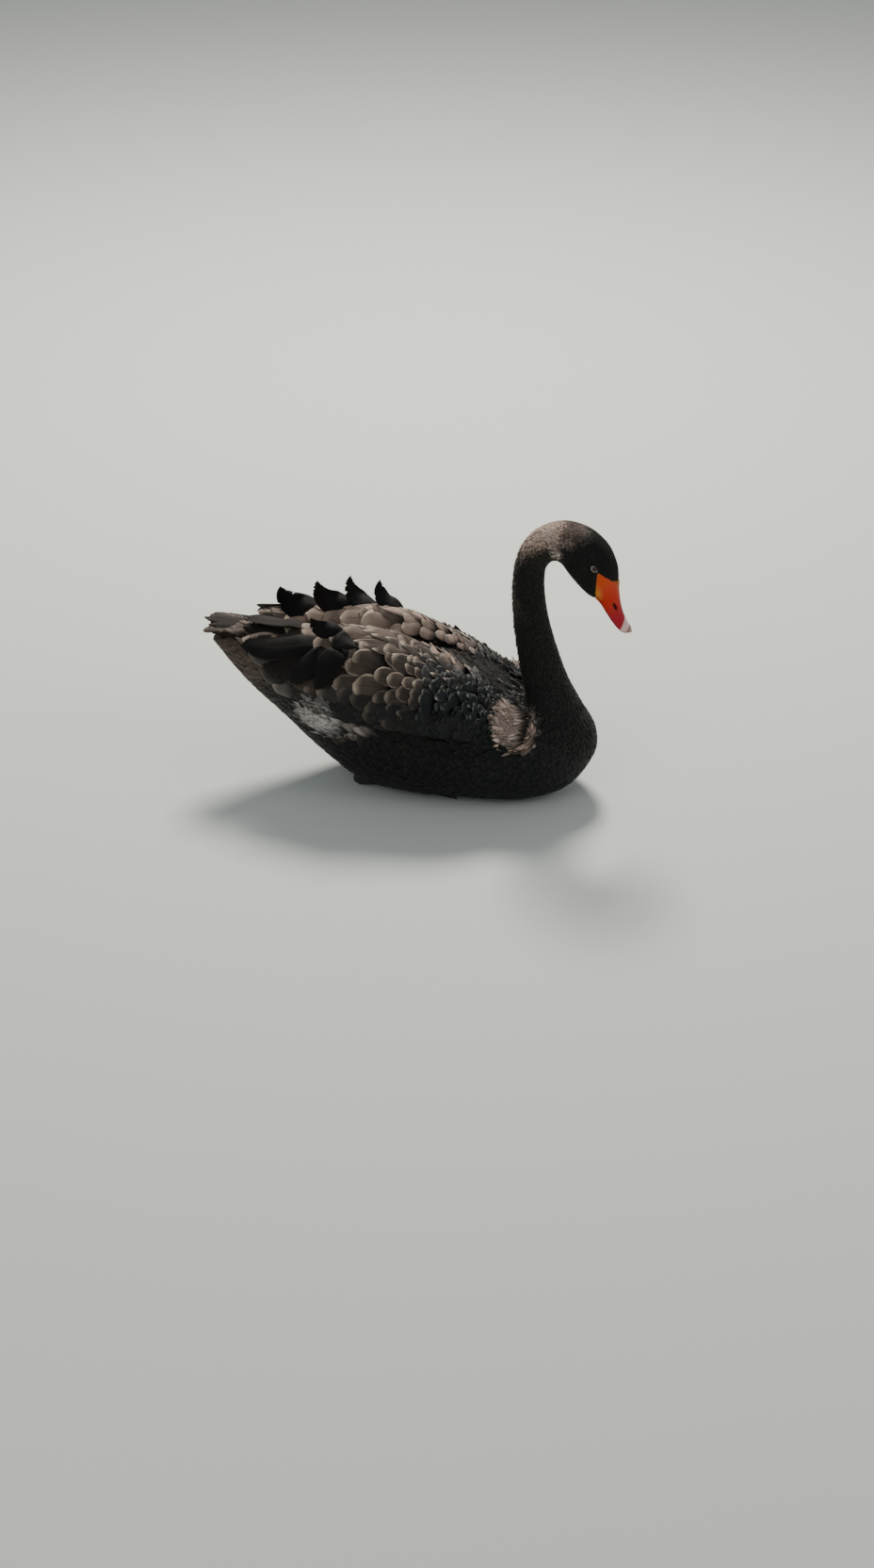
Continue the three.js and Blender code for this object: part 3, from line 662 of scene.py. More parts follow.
def lay(
    shape, surface, a, b, length, width, rows, columns, sink, lift, dome, swing, form="round", curl=0.0,
    ruffle=0.0, ragged=0.05, roll=0.03, heading=0.0, shades=0.2, patch=0.003, marks=None, **values,
):
    """Lays feathers on a surface with their roots at (a, b), pointing back along it. sink and lift are
    the heights of root and tip, swing and roll how unruly they are. A heading turns them, towards the
    back of the bird on its left side."""
    count = len(a)
    each = [np.broadcast_to(np.asarray(v, float), count) for v in (length, width, lift, curl)]
    length, width, lift, curl = (v[:, None, None] for v in each)
    share, across = template(rows, columns)
    wander = WAVE * rng.random((3, count, 1, 1))
    ragged_edge = 1 - ragged * (1 + np.sin(wander[0] + 8 * share + 2 * across)) * across**2
    ragged_tip = 1 - 0.7 * ragged * (1 + np.sin(wander[1] + 4 * across)) * ease(0.6, 1.0, share)
    forward = share * ragged_tip
    sideways = across * vane_width(form, share) * ragged_edge * 0.5 * width
    pa, pb, out = surface.slopes(a, b)
    back = unit(-pa)
    over = np.cross(out, back)
    heading = heading + swing * rng.normal(size=count)
    c, s = np.cos(heading)[:, None], np.sin(heading)[:, None]
    back, over = back * c + over * s, over * c - back * s
    aa, ab, bb = ((p * q).sum(-1) for p, q in ((pa, pa), (pa, pb), (pb, pb)))
    det = aa * bb - ab * ab

    def solved(direction):
        ra, rb = (pa * direction).sum(-1), (pb * direction).sum(-1)
        return (bb * ra - ab * rb) / det, (aa * rb - ab * ra) / det

    (back_a, back_b), (over_a, over_b) = solved(back), solved(over)
    run = length * forward
    at_a = a[:, None, None] + back_a[:, None, None] * run + over_a[:, None, None] * sideways
    at_b = b[:, None, None] + back_b[:, None, None] * run + over_b[:, None, None] * sideways
    base = surface.point(at_a, at_b)
    normal = surface.slopes(at_a, at_b)[2]
    full = np.sin(math.pi * np.clip(share, 0, 1) ** 0.8)
    height = sink + (lift - sink) * share**0.75
    height = height + dome * width * 0.5 * (1 - across**2) * (0.35 + 0.65 * full)
    height = height + curl * length * ease(0.45, 1.0, share) ** 2
    height = height + ruffle * width * across**2 * np.sin(9 * share + wander[2] + 2 * across)
    rolled = rng.normal(size=(count, 1, 1)) * np.broadcast_to(roll, count)[:, None, None]
    height = height + rolled * width * across * share
    points = base + normal * height[..., None]
    points[..., 2] = np.maximum(points[..., 2], 0.0)
    seen = points[:, round(0.55 * rows), columns // 2] + SCATTER * rng.normal(size=(count, 3))
    chosen = dict(markings(seen)) if marks is None else dict(marks)
    chosen.update(values)
    chosen.setdefault("tone", np.clip(rng.normal(0.5, shades, count), 0, 1))
    chosen = {k: np.broadcast_to(np.asarray(v, float), count) for k, v in chosen.items()}
    along = np.broadcast_to(share, (count, rows, columns))
    sides = np.broadcast_to(across, (count, rows, columns))
    add_vanes(shape, points, along, sides, surface.unwrap(a, b), patch, **chosen)


ROOT_JITTER = 0.3  # how far roots stray from even rows, as a share of their spacing


def body_roots(first, last, pitch, gap):
    """Roots in staggered rows round the body from one station to another, pitch apart along it and
    gap apart round it; both are functions of the station."""
    turns = np.linspace(-math.pi / 2, 1.5 * math.pi, 361)
    stations, angles = [], []
    u = last
    row = 0
    while u > first:
        ring = body_point(u, turns)
        reach = along_line(ring)
        count = max(8, int(reach[-1] / gap(u)))
        marks = (np.arange(count) + 0.5 * (row % 2) + ROOT_JITTER * (rng.random(count) - 0.5)) / count
        angle = np.interp(marks * reach[-1] % reach[-1], reach, turns)
        pace = np.linalg.norm((body_point(u + 0.05, turns) - body_point(u - 0.05, turns)) / 0.1, axis=1)
        local = np.interp(angle, turns, pace)
        keep = rng.random(count) < 0.25 + 0.85 * local / pace.max()
        shift = ROOT_JITTER * (rng.random(count) - 0.5) * pitch(u) / np.maximum(local, 1)
        stations.append((u + shift)[keep])
        angles.append(angle[keep])
        u -= pitch(u) / pace.max()
        row += 1
    return np.concatenate(stations), np.concatenate(angles)


# The line where the bill begins
def inside(outline, points):
    """Whether each [x, z] lies in the closed outline."""
    x, z = points[..., 0], points[..., 1]
    found = np.zeros(x.shape, bool)
    for (x1, z1), (x2, z2) in zip(outline, outline[1:] + outline[:1]):
        crosses = (z1 > z) != (z2 > z)
        slope = (x2 - x1) / (z2 - z1) if z1 != z2 else 0.0
        found ^= crosses & (x < x1 + slope * (z - z1))
    return found


def first_inside(outline, point_at, low, high, columns):
    """For each column, the first station from low to high whose point lies in the outline."""
    u = np.linspace(low, high, 900)[:, None]
    hit = inside(outline, point_at(u, columns)[..., [0, 2]])
    hit[-1] = True
    return u[np.argmax(hit, axis=0), 0]


SKIN_COLUMNS = 192
SKIN_TURNS = np.linspace(-math.pi / 2, 1.5 * math.pi, SKIN_COLUMNS, endpoint=False)
BILL_START = first_inside(BILL_SIDE, body_point, HEAD_BACK, BILL_TIP, SKIN_TURNS)


def bill_start(turn):
    """The station where the feathers end, all round the head."""
    wrapped = (turn + math.pi / 2) % (2 * math.pi) - math.pi / 2
    return np.interp(wrapped, SKIN_TURNS, BILL_START, period=2 * math.pi)


def eye_axis(side):
    """The middle of the eye and the way that it looks."""
    centre = np.array([EYE["x"], side * EYE["y"], EYE["z"]])
    return centre, unit(np.array([0.3, side, 0.22]))


def off_eye(points):
    """How far points lie from the nearer eye's axis, on that eye's side of the head."""
    reach = np.full(points.shape[:-1], 1e3)
    for side in (LEFT, RIGHT):
        centre, out = eye_axis(side)
        away = points - centre
        ahead = away @ out
        aside = np.linalg.norm(away - ahead[..., None] * out, axis=-1)
        reach = np.where(ahead > -4, np.minimum(reach, aside), reach)
    return reach


# The skin
def coat_depth(u):
    """How deep the skin lies under the feathers' surface."""
    return np.interp(u, [0, 8, 10, 14, 18, 20, 22, 24], [4.5, 4.5, 3.4, 2.6, 1.7, 1.2, 0.9, 0.9])


def make_skin():
    """One skin over trunk, neck and head, ending under the bill's edge, with the eye sockets."""
    rows = 420
    share = np.linspace(0, 1, rows)[:, None]
    end = BILL_START[None] + 0.35
    u = RUMP_END + share * (end - RUMP_END)
    points = body_point(u, SKIN_TURNS[None])
    out = BODY.slopes(u, np.broadcast_to(SKIN_TURNS[None], u.shape))[2]
    dent = 4.6 * ease(10.5, 4.5, off_eye(points))
    points = points - out * (coat_depth(u) + dent)[..., None]
    points[..., 2] = np.maximum(points[..., 2], 0.0)
    shape = Shape()
    add_loft(shape, points, span=(0.86, 1.0), **{k: v.ravel() for k, v in markings(points).items()})
    shape.piece("skin", SKIN, FLESH)


make_skin()


# The coat of the head, neck and trunk
def wing_rows(x):
    """The wing's cross-section at places along the bird."""
    return through(WING, np.clip((WING_FRONT - x) / WING_STEP, 0, len(WING) - 1))


def under_wing(points, out):
    """Whether a point of the trunk is covered by a folded wing."""
    x, y, z = points[..., 0], np.abs(points[..., 1]), points[..., 2]
    edge = wing_rows(x)
    front = 138.0
    rear = -236.0
    groove = edge[..., 0] + 4
    low = edge[..., 7] + 6
    return (x < front) & (x > rear + 40 * ease(210, 160, z)) & (y > groove) & (z > low) & (out[..., 2] > -0.9)


BARE_ROUND_EYE = 7.0  # no feather stands nearer to the middle of the eye


def graded(stations, values):
    """A number that changes from station to station."""
    return lambda u: np.interp(u, stations, values)


def clothe(name, finish, first, last, at, pitch, gap, length, width, keep=None, **form):
    """Feathers over the body from one station to another. pitch, gap, length and width are given at
    the stations in at; keep says which of the roots are wanted."""
    pitch, gap, length, width = (graded(at, row) for row in (pitch, gap, length, width))
    a, b = body_roots(first, last, pitch, gap)
    points = body_point(a, b)
    out = BODY.slopes(a, b)[2]
    chosen = (a < bill_start(b) - 0.03) & (points[:, 2] > -20) & ~under_wing(points, out)
    chosen &= off_eye(points) > BARE_ROUND_EYE
    if keep is not None:
        chosen &= keep(a, b, points)
    a, b, points = a[chosen], b[chosen], points[chosen]
    spread = 0.85 + 0.3 * rng.random(len(a))
    form = {k: v(a, b, points) if callable(v) else v for k, v in form.items()}
    shape = Shape()
    lay(shape, BODY, a, b, length(a) * spread, width(a) * spread, **form)
    shape.piece(name, finish)


def nape_lift(a, b, points):
    """Feathers stand out a little along the back of the neck, more in some than in others."""
    return 0.35 + 2.6 * ease(0.8, 1.0, np.sin(b)) * ease(18, 16.5, a) * rng.random(len(a)) ** 2


def nape_rim(a, b, points):
    """Their rims are paler there too."""
    return 0.1 + 0.9 * ease(0.8, 1.0, np.sin(b)) * ease(18, 16.5, a)


def soft_lift(a, b, points):
    """The coat stands up more where it is bleached and fluffy."""
    return 0.2 + 1.8 * np.clip(markings(points)["pale"], 0, 1) * rng.random(len(a))


TRUNK_COAT = dict(
    form="soft", rows=7, columns=5, sink=-3.6, lift=soft_lift, dome=0.03, roll=0.012, shades=0.09, rim=0.2
)
clothe(
    "head_coat", HEAD_COAT, HEAD_BACK - 0.1, BILL_BASE + 1.4,
    at=[17, 20, 22, 24], pitch=[2.4, 2.0, 1.7, 1.5], gap=[2.5, 2.2, 1.9, 1.7],
    length=[9.5, 7.5, 6.0, 4.6], width=[4.0, 3.4, 2.9, 2.4],
    form="soft", rows=5, columns=3, sink=-1.3, lift=0.3, dome=0.1, swing=0.06, rim=0.12,
)
clothe(
    "neck_coat_upper", HEAD_COAT, 13.0, HEAD_BACK,
    at=[13, 18], pitch=[3.3, 2.7], gap=[3.2, 2.8], length=[14, 11], width=[5.6, 4.6],
    form="soft", rows=5, columns=3, sink=-2.0, lift=nape_lift, dome=0.1, swing=0.09, rim=nape_rim,
)
clothe(
    "neck_coat_lower", HEAD_COAT, NECK_BASE, 13.05,
    at=[9, 13], pitch=[5.8, 3.5], gap=[6.2, 3.5], length=[24, 15], width=[11, 6.0],
    form="soft", rows=6, columns=3, sink=-2.6, lift=nape_lift, dome=0.08, swing=0.08, rim=nape_rim,
)
clothe(
    "breast_coat", BLACK_COAT, 5.4, NECK_BASE + 0.05,
    at=[5, 9.5], pitch=[9.5, 6.4], gap=[11, 7.4], length=[38, 26], width=[22, 14],
    swing=0.09, **TRUNK_COAT,
)
clothe(
    "belly_coat", BLACK_COAT, -0.24, 5.5,
    at=[0, 3, 5.5], pitch=[7.5, 9.5, 10], gap=[8, 10.5, 11], length=[30, 38, 38], width=[15, 22, 22],
    swing=0.1, **TRUNK_COAT,
)


def beside_wing(a, b, points):
    """Roots in the band of flank just below a folded wing's lower edge."""
    under = wing_rows(points[:, 0])[:, 7] - points[:, 2]
    return (np.abs(points[:, 1]) > 50) & (under > -6) & (under < 26) & (points[:, 0] > -200)


def before_wing(a, b, points):
    """Roots just ahead of a folded wing's front."""
    ahead = points[:, 0] - WING_FRONT + 0.35 * (165 - points[:, 2])
    return (np.abs(points[:, 1]) > 34) & (ahead > -6) & (ahead < 26) & (abs(points[:, 2] - 153) < 36)


clothe(
    "flank_coat", BLACK_COAT, 1.8, 7.6,
    at=[0, 8], pitch=[8, 8], gap=[8, 8], length=[40, 34], width=[17, 15], keep=beside_wing,
    form="soft", rows=8, columns=5, sink=-2.5, lift=lambda a, b, p: 4.5 + 4.5 * rng.random(len(a)),
    dome=0.05, shades=0.12, heading=lambda a, b, p: 0.36 * np.sign(p[:, 1]), swing=0.16, ruffle=0.02,
    rim=0.2,
)
clothe(
    "shoulder_coat", BLACK_COAT, 6.6, 9.2,
    at=[0, 8], pitch=[5.5, 5.5], gap=[6, 6], length=[26, 24], width=[11, 10], keep=before_wing,
    form="soft", rows=8, columns=5, sink=-2.5, lift=lambda a, b, p: 3.5 + 4.0 * rng.random(len(a)),
    dome=0.1, swing=0.2, ruffle=0.02, rim=0.3,
)


# How high the roots of loose down lie along the bird: evenly, or deeper ahead of the wing's front
EVEN_ROOTS = ((0, 1), (-1.2, -1.2))
SUNK_AHEAD = ((160, 180, 196), (-3.0, -9.0, -16.0))
TRIES = 60  # places drawn for each tuft that is wanted


def tufts(name, surfaces, spans, centre, radii, count, lift, warmth, pale, sunk=EVEN_ROOTS):
    """Loose down over a bleached patch, thinning out and darkening towards the patch's rim."""
    shape = Shape()
    for side, surface in surfaces.items():
        a, b = (rng.uniform(*span, TRIES * count) for span in spans)
        bare = spot(surface.point(a, b), (centre[0], side * centre[1], centre[2]), radii)
        near = bare > rng.random(len(a))
        a, b, bare = a[near][:count], b[near][:count], bare[near][:count]
        some = len(a)
        size = rng.random(some)
        lay(
            shape, surface, a, b, 19 + 15 * size, 3.0 + 5.0 * size, form="soft", rows=8, columns=5,
            sink=np.interp(a, *sunk)[:, None, None], lift=lift * (0.3 + 0.9 * rng.random(some)), dome=0.3,
            curl=0.12 * rng.random(some), swing=0.26, roll=0.06,
            marks={
                "tone": 0.55 + 0.45 * rng.random(some),
                "pale": pale * bare * (0.45 + 0.6 * rng.random(some)),
                "warm": warmth,
                "cool": 0.6 * (1 - warmth),
                "rim": 0.5 * bare,
            },
        )
    shape.piece(name, BLACK_COAT)


BOTH_BODY = {LEFT: BODY, RIGHT: BODY}
# Stretches of the body or a wing that are searched for a patch
ALL_BODY = ((0.5, 9.4), (-math.pi, math.pi))
LOW_WING = ((-205, -60), (0.7, 1.0))
WING_HEAD = ((135, 196), (0.3, 0.98))
tufts("breast_tufts", BOTH_BODY, ALL_BODY, (191, 86, 156), (24, 38, 36), 760, 2.6, 1.0, 1.3)
tufts("front_tufts", BOTH_BODY, ALL_BODY, (180, 88, 156), (12, 38, 34), 320, 13.0, 0.8, 1.2)
tufts("flank_tufts", BOTH_BODY, ALL_BODY, (-130, 98, 140), (40, 46, 28), 900, 4.0, 0.1, 1.0)
tufts("wing_edge_tufts", WINGS, LOW_WING, (-134, 98, 150), (42, 50, 22), 360, 7.0, 0.1, 0.9)
tufts("shoulder_tufts", WINGS, WING_HEAD, (187, 84, 154), (22, 40, 34), 520, 4.0, 0.75, 1.1, SUNK_AHEAD)


# The wings
WING_SPANS = {  # the size of the wing's feathers, from the rear forward
    "x": [-240, -90, -40, 0, 30, 70, 110, 150, 180],
    "size": [45, 50, 43, 33, 25, 19, 16, 13, 11],
}
RIDGE_LINE = {"x": [-260, -120, 0, 60, 120, 175], "t": [0.31, 0.34, 0.4, 0.44, 0.46, 0.46]}


def wing_base(side, name):
    """The wing's body beneath its feathers, closed on the inside."""
    rows, columns = 60, 40
    share = np.linspace(0, 1, rows)[:, None]
    t = np.linspace(0, 1, columns)[None]
    front = WING_FRONT - 2 - 22 * t * t
    rear = -246 + 62 * t * t
    x = front + (rear - front) * share
    outer = wing_point(side, x, np.broadcast_to(t, x.shape))
    normal = WINGS[side].slopes(x, np.broadcast_to(t, x.shape))[2]
    outer = outer - normal * 2.5
    heart = np.stack([outer[:, 0, 0], np.zeros(rows), outer[:, 0, 2] - 55], -1)
    inner = [outer[:, k] + (heart - outer[:, k]) * 0.3 for k in (-1, 0)]
    rings = np.concatenate([outer, np.stack(inner, 1)], 1)
    shape = Shape()
    add_loft(shape, rings, span=(0.95, 0.95), warm=0.2, pale=0.0)
    shape.piece(f"{name}_base", SKIN, (name,))


def wing_roots(side, front, rear, size_at, spacing, width, low=0.04, high=0.97):
    """Roots in staggered rows over a wing, from its front back, with the feather's size at each."""
    xs, ts, sizes = [], [], []
    x, row = front, 0
    grid = np.linspace(low, high, 60)
    while x > rear:
        line = wing_point(side, x, grid)
        reach = along_line(line)
        size = float(size_at(x))
        count = max(3, int(round(reach[-1] / (size * width))))
        marks = (np.arange(count) + (0.25 if row % 2 else 0.75) + 0.16 * rng.normal(size=count)) / count
        t = np.interp(np.clip(marks, 0, 1) * reach[-1], reach, grid)
        xs.append(x + 0.14 * size * rng.normal(size=count) - 0.25 * size * t)
        ts.append(t)
        sizes.append(size * (0.88 + 0.24 * rng.random(count)))
        x -= size * spacing
        row += 1
    return np.concatenate(xs), np.concatenate(ts), np.concatenate(sizes)


def wing_marks(x, t):
    """Brown scapulars above, blue-grey small coverts in front, dark feathers at the lower edge."""
    upper = ease(0.42, 0.3, t)
    front = ease(20, 85, x - 60 * upper)
    low = ease(0.62, 0.86, t)
    return {
        "warm": np.clip(1.0 - 0.8 * front - 0.75 * low, 0, 1),
        "cool": np.clip(1.0 * front * (1 - 0.5 * low) + 0.3 * low, 0, 1),
        # The second pale term, on the upper wing from x -20 to 125, is a painted highlight where sunlight
        # falls along the ridge; the first is bleaching.
        "pale": 0.3 * ease(0.55, 0.3, t) * (1 - front) + 0.2 * ease(-20, 40, x) * ease(125, 90, x) * upper,
        "rim": np.clip(1.0 - 0.4 * front - 0.75 * low, 0.1, 1),
    }


def bare_shoulder(side, x, t):
    """Where the pale patch of the breast reaches on to the wing's front."""
    points = wing_point(side, x, t)
    return spot(points * np.array([1, side, 1]), *SHOULDER_PATCH)


def wing_coverts(side, name):
    """Tiers of rounded feathers: small curled ones in front, broad ones behind and above."""
    size_at = graded(WING_SPANS["x"], WING_SPANS["size"])
    tiers = (("lesser", 45, 200, 0.5, 0.7, 9, 7), ("coverts", -400, 45, 0.6, 0.8, 14, 9))
    for label, rear, front, spacing, width, rows, columns in tiers:
        small = label == "lesser"
        x, t, size = wing_roots(side, 174, -196, size_at, spacing, width)
        chosen = (x > rear) & (x <= front)
        x, t, size = x[chosen], t[chosen], size[chosen]
        ridge = ease(0.5, 0.4, t) * ease(0.14, 0.24, t)
        look = wing_marks(x, t)
        bare = bare_shoulder(side, x, t)
        look["pale"] = np.maximum(look["pale"], 0.9 * bare)
        look["cool"] = look["cool"] * (1 - 0.6 * bare)
        look["rim"] = look["rim"] * (1 - 0.6 * bare)
        shape = Shape()
        lay(
            shape, WINGS[side], x, t, size * (1.35 if small else 1.45), size, rows=rows, columns=columns,
            sink=-3.0, lift=1.4 + 0.055 * size + small * 1.6 * (1 - ridge) * rng.random(len(x)),
            dome=0.22 if small else 0.14, curl=0.02 + small * 0.1 * rng.random(len(x)),
            ruffle=0.03 if small else 0.012, ragged=0.04, swing=(0.42 - 0.3 * ridge) if small else 0.15,
            roll=0.12 * (1 - 0.7 * ridge) if small else 0.04, patch=0.006 if small else 0.022, marks=look,
        )
        shape.piece(f"{name}_{label}", LESSER_COAT if small else WING_COAT)


def wing_scapulars(side, name):
    """Long narrow feathers along the ridge, whose pale edges draw lines down the back."""
    shape = Shape()
    front = {LEFT: 168, RIGHT: 108}[side]
    for shift, first, last, pitch, width in (
        (-0.1, 96, -150, 24.0, 24),
        (-0.03, front - 4, -190, 15.0, 15),
        (0.04, front, -180, 17.0, 17),
    ):
        x = np.arange(first, last, -pitch)
        x = x + 2.5 * rng.normal(size=len(x))
        t = np.interp(x, RIDGE_LINE["x"], RIDGE_LINE["t"]) + shift + 0.006 * rng.normal(size=len(x))
        early = ease(30, 100, x)
        earliest = ease(95, 150, x)
        look = wing_marks(x, t)
        look["cool"] = 0.4 * look["cool"]
        # The far (left) wing's upper rows are painted paler, a painted highlight where sunlight falls along
        # the far ridge; the near (right) wing's are half as pale.
        if side == RIGHT:
            look["pale"] = 0.5 * look["pale"]
        elif shift < 0:
            look["pale"] = look["pale"] + 0.15 + 0.28 * early
        lay(
            shape, WINGS[side], x, t, 106 - 44 * early - 26 * earliest,
            width * (1 - 0.3 * early - 0.25 * earliest), form="soft", rows=16, columns=7, sink=-1.0,
            lift=4.4, dome=0.12, ruffle=0.01, ragged=0.03, swing=0.03, patch=0.02, marks=look, rim=1.0,
        )
    shape.piece(f"{name}_scapulars", RIDGE_COAT)


def wing_flank(side, name):
    """Soft dark feathers of the flank that lap over the wing's lower edge."""
    x, t, size = wing_roots(side, 150, -165, lambda x: 27.0, 0.42, 0.5, 0.84, 1.0)
    shape = Shape()
    lay(
        shape, WINGS[side], x, t, size * 1.5, size * 0.9, form="soft", rows=8, columns=5, sink=-1.5,
        lift=4.2 - 2.4 * ease(0.9, 1.0, t), dome=0.08, ruffle=0.01, swing=0.16, patch=0.006,
        marks={"warm": 0.3, "cool": 0.4, "pale": 0.9 * bare_shoulder(side, x, t), "rim": 0.25},
    )
    shape.piece(f"{name}_flank", BLACK_COAT)


QUILL_SUNK = -4.0  # how deep a long feather's root lies
QUILL_CLEAR = 0.3  # the share of its length at which it has risen out of the coat
CURL_START = 0.4  # the share at which it begins to curl
# The free plumes. twist turns the blade about its shaft towards the tip; hold is the share of it that
# is there from the root on. The upright ones stand on edge.
PLUME = {"heading": 0, "start": CURL_START, "form": "spade", "hold": 0.0, "warm": 0.2}
UPRIGHT = {"form": "fin", "hold": 0.6, "lift": 6}
PLUMES = {
    RIGHT: [
        dict(x=-196, t=0.36, length=88, width=27, curl=8, lift=8, heading=5, twist=10, warm=0.8),
        dict(x=-166, t=0.3, length=116, width=40, curl=12, lift=10, twist=14, warm=0.8),
        dict(x=-150, t=0.62, length=96, width=46, curl=4, lift=6, heading=20, twist=-8, warm=0.5),
        dict(x=-138, t=0.48, length=146, width=48, curl=7, lift=9, heading=14, twist=-12, warm=0.15),
        dict(x=-128, t=0.5, length=92, width=42, curl=5, lift=10, heading=50, twist=-6),
        dict(x=-104, t=0.46, length=92, width=44, curl=6, lift=12, heading=66, twist=-4),
        dict(x=-132, t=0.44, length=54, width=34, curl=14, lift=12, heading=160, twist=6, form="fin"),
        dict(UPRIGHT, x=-108, t=0.4, length=74, width=32, curl=104, lift=8, twist=52, start=0.34, hold=0.4),
    ],
    LEFT: [
        dict(UPRIGHT, x=-172, t=0.3, length=88, width=50, curl=92, twist=-66, start=0.3),
        dict(UPRIGHT, x=-112, t=0.3, length=90, width=44, curl=104, lift=7, twist=-72, start=0.28),
        dict(UPRIGHT, x=-75, t=0.36, length=78, width=38, curl=104, twist=-72, start=0.26),
        dict(UPRIGHT, x=-33, t=0.36, length=70, width=34, curl=100, twist=-72, start=0.26),
        dict(x=-190, t=0.38, length=92, width=27, curl=8, lift=8, heading=5, twist=10, warm=0.7),
        dict(x=-146, t=0.48, length=140, width=38, curl=7, lift=9, heading=13, twist=12, warm=0.4),
        dict(x=-150, t=0.62, length=104, width=36, curl=5, lift=7, heading=20, twist=8, warm=0.3),
        dict(x=-132, t=0.52, length=96, width=36, curl=5, lift=10, heading=44, twist=6),
        dict(x=-112, t=0.46, length=92, width=36, curl=8, lift=11, heading=58, twist=6),
    ],
}


QUILL_STEPS = 90


def quill_line(side, x, t, length, lift, curl, heading, start=CURL_START):
    """The line of a long feather's shaft, and the direction across it, from its root to its tip. A
    heading of 0 points back along the wing, and of 90 down it."""
    points, laterals = [], []
    height, along, down = QUILL_SUNK, float(x), float(t)
    step = length / QUILL_STEPS
    turn = math.radians(heading)
    for k in range(QUILL_STEPS + 1):
        share = k / QUILL_STEPS
        late = max(0.0, (share - start) / (1 - start))
        bend = math.radians(curl) * late**0.7
        place = np.array(along), np.array(down)
        pa, pb, normal = WINGS[side].slopes(*place)
        points.append(WINGS[side].point(*place) + normal * height)
        ahead = -math.cos(turn) * unit(pa) + math.sin(turn) * unit(pb)
        laterals.append(np.cross(ahead, normal))
        run = step * math.cos(bend)
        along -= run * math.cos(turn)
        down += run * math.sin(turn) / max(np.linalg.norm(pb), 60.0)
        rise = (lift - QUILL_SUNK) / (QUILL_CLEAR * QUILL_STEPS) if share < QUILL_CLEAR else 0.0
        height += step * math.sin(bend) + rise
    return np.array(points), np.array(laterals)


def rotated(v, axis, angle):
    """Vectors v turned about unit axes by angles."""
    c, s = np.cos(angle)[..., None], np.sin(angle)[..., None]
    dot = (v * axis).sum(-1, keepdims=True)
    return v * c + np.cross(axis, v) * s + axis * dot * (1 - c)


BLADE_THICK = 0.7
BLADE_PATCH = 0.05  # how much of the bake map one free feather takes


def add_blade(
    shape, line, laterals, width, twist, form, dome=0.12, ragged=0.1, ruffle=0.03, rows=26, columns=9,
    notches=3, hold=0.0, uv_root=(0.5, 0.5), **values,
):
    """One free feather along a line: a thin closed vane with barbs parted here and there."""
    share, across = template(rows, columns)
    places = share[:, 0] * (len(line) - 1)
    spine = np.stack([np.interp(places, np.arange(len(line)), line[:, k]) for k in range(3)], -1)
    lateral = np.stack([np.interp(places, np.arange(len(line)), laterals[:, k]) for k in range(3)], -1)
    ahead = unit(np.gradient(spine, axis=0))
    over = unit(lateral - ahead * (lateral * ahead).sum(-1, keepdims=True))
    late = np.maximum(0, (share[:, 0] - QUILL_CLEAR) / (1 - QUILL_CLEAR))
    over = rotated(over, ahead, twist * (hold + (1 - hold) * late))
    up = np.cross(over, ahead)
    wander = WAVE * rng.random((2, 2))
    edge = 1 - ragged * (1 + np.sin(wander[0] + (6 + wander[1]) * share[:, :1]))
    for _ in range(notches):
        row = rng.integers(rows // 2, rows - 3)
        edge[row, rng.integers(0, 2)] *= 0.6 + 0.25 * rng.random()
    side_edge = np.where(across < 0, edge[:, :1], edge[:, 1:])
    half = 0.5 * width * vane_width(form, share)
    reach = across * half * (1 + (side_edge - 1) * np.abs(across) ** 3)
    crown = dome * half * (1 - across**2)
    wave = ruffle * width * across**2 * np.sin(8 * share + 3 * across + WAVE * rng.random())
    barb_back = 0.1 * width * (1 - np.abs(across)) * ease(0.5, 1.0, share)
    top = (
        spine[:, None]
        + over[:, None] * reach[..., None]
        + up[:, None] * (crown + wave + BLADE_THICK * (1 - across**2))[..., None]
        + ahead[:, None] * (barb_back - 0.04 * width)[..., None]
    )
    top[..., 2] = np.maximum(top[..., 2], 0.0)
    tone = rng.random()
    marks = {k: np.array([float(v)]) for k, v in {**values, "tone": tone}.items()}
    add_vanes(shape, top[None], share[None], across[None], np.array([uv_root]), BLADE_PATCH, **marks)


# Broad feathers at the rear end of the wing: place, length, width, heading and bleaching
TERTIALS = (
    (-204, 0.5, 66, 40, 4, 0.55),
    (-222, 0.6, 60, 34, 0, 0.45),
    (-206, 0.7, 62, 32, 8, 0.12),
    (-192, 0.84, 54, 28, 12, 0.0),
    (-174, 0.9, 50, 26, 14, 0.1),
)


def wing_flight(side, name):
    """Flight feathers that show behind the coverts."""
    flight = Shape()
    quills = [
        dict(x=-150 + 6 * k, t=0.7 - 0.075 * k, length=150 - 6 * k, width=25, lift=-1, heading=-4)
        for k in range(5)
    ]
    quills += [
        dict(x=-112 - 4 * k, t=0.96 - 0.085 * k, length=104 + 5 * k, width=32, lift=3, heading=-9)
        for k in range(7)
    ]
    for k, q in enumerate(quills):
        line, laterals = quill_line(side, q["x"], q["t"], q["length"], q["lift"], 0.0, q["heading"])
        place = (0.06 + 0.07 * k, 0.5)
        add_blade(flight, line, laterals, q["width"], 0.0, "long", uv_root=place, warm=0.55, rim=0.4)
    for x, t, length, width, heading, pale in TERTIALS:
        line, laterals = quill_line(side, x, t, length, 5, 4.0, heading)
        low = t > 0.65
        look = dict(warm=0.9 - 0.6 * low, cool=0.4 * low, pale=pale, rim=0.9 - 0.4 * low)
        add_blade(flight, line, laterals, width, 0.0, "round", 0.3, 0.03, notches=0, **look)
    flight.piece(f"{name}_flight", WING_COAT)


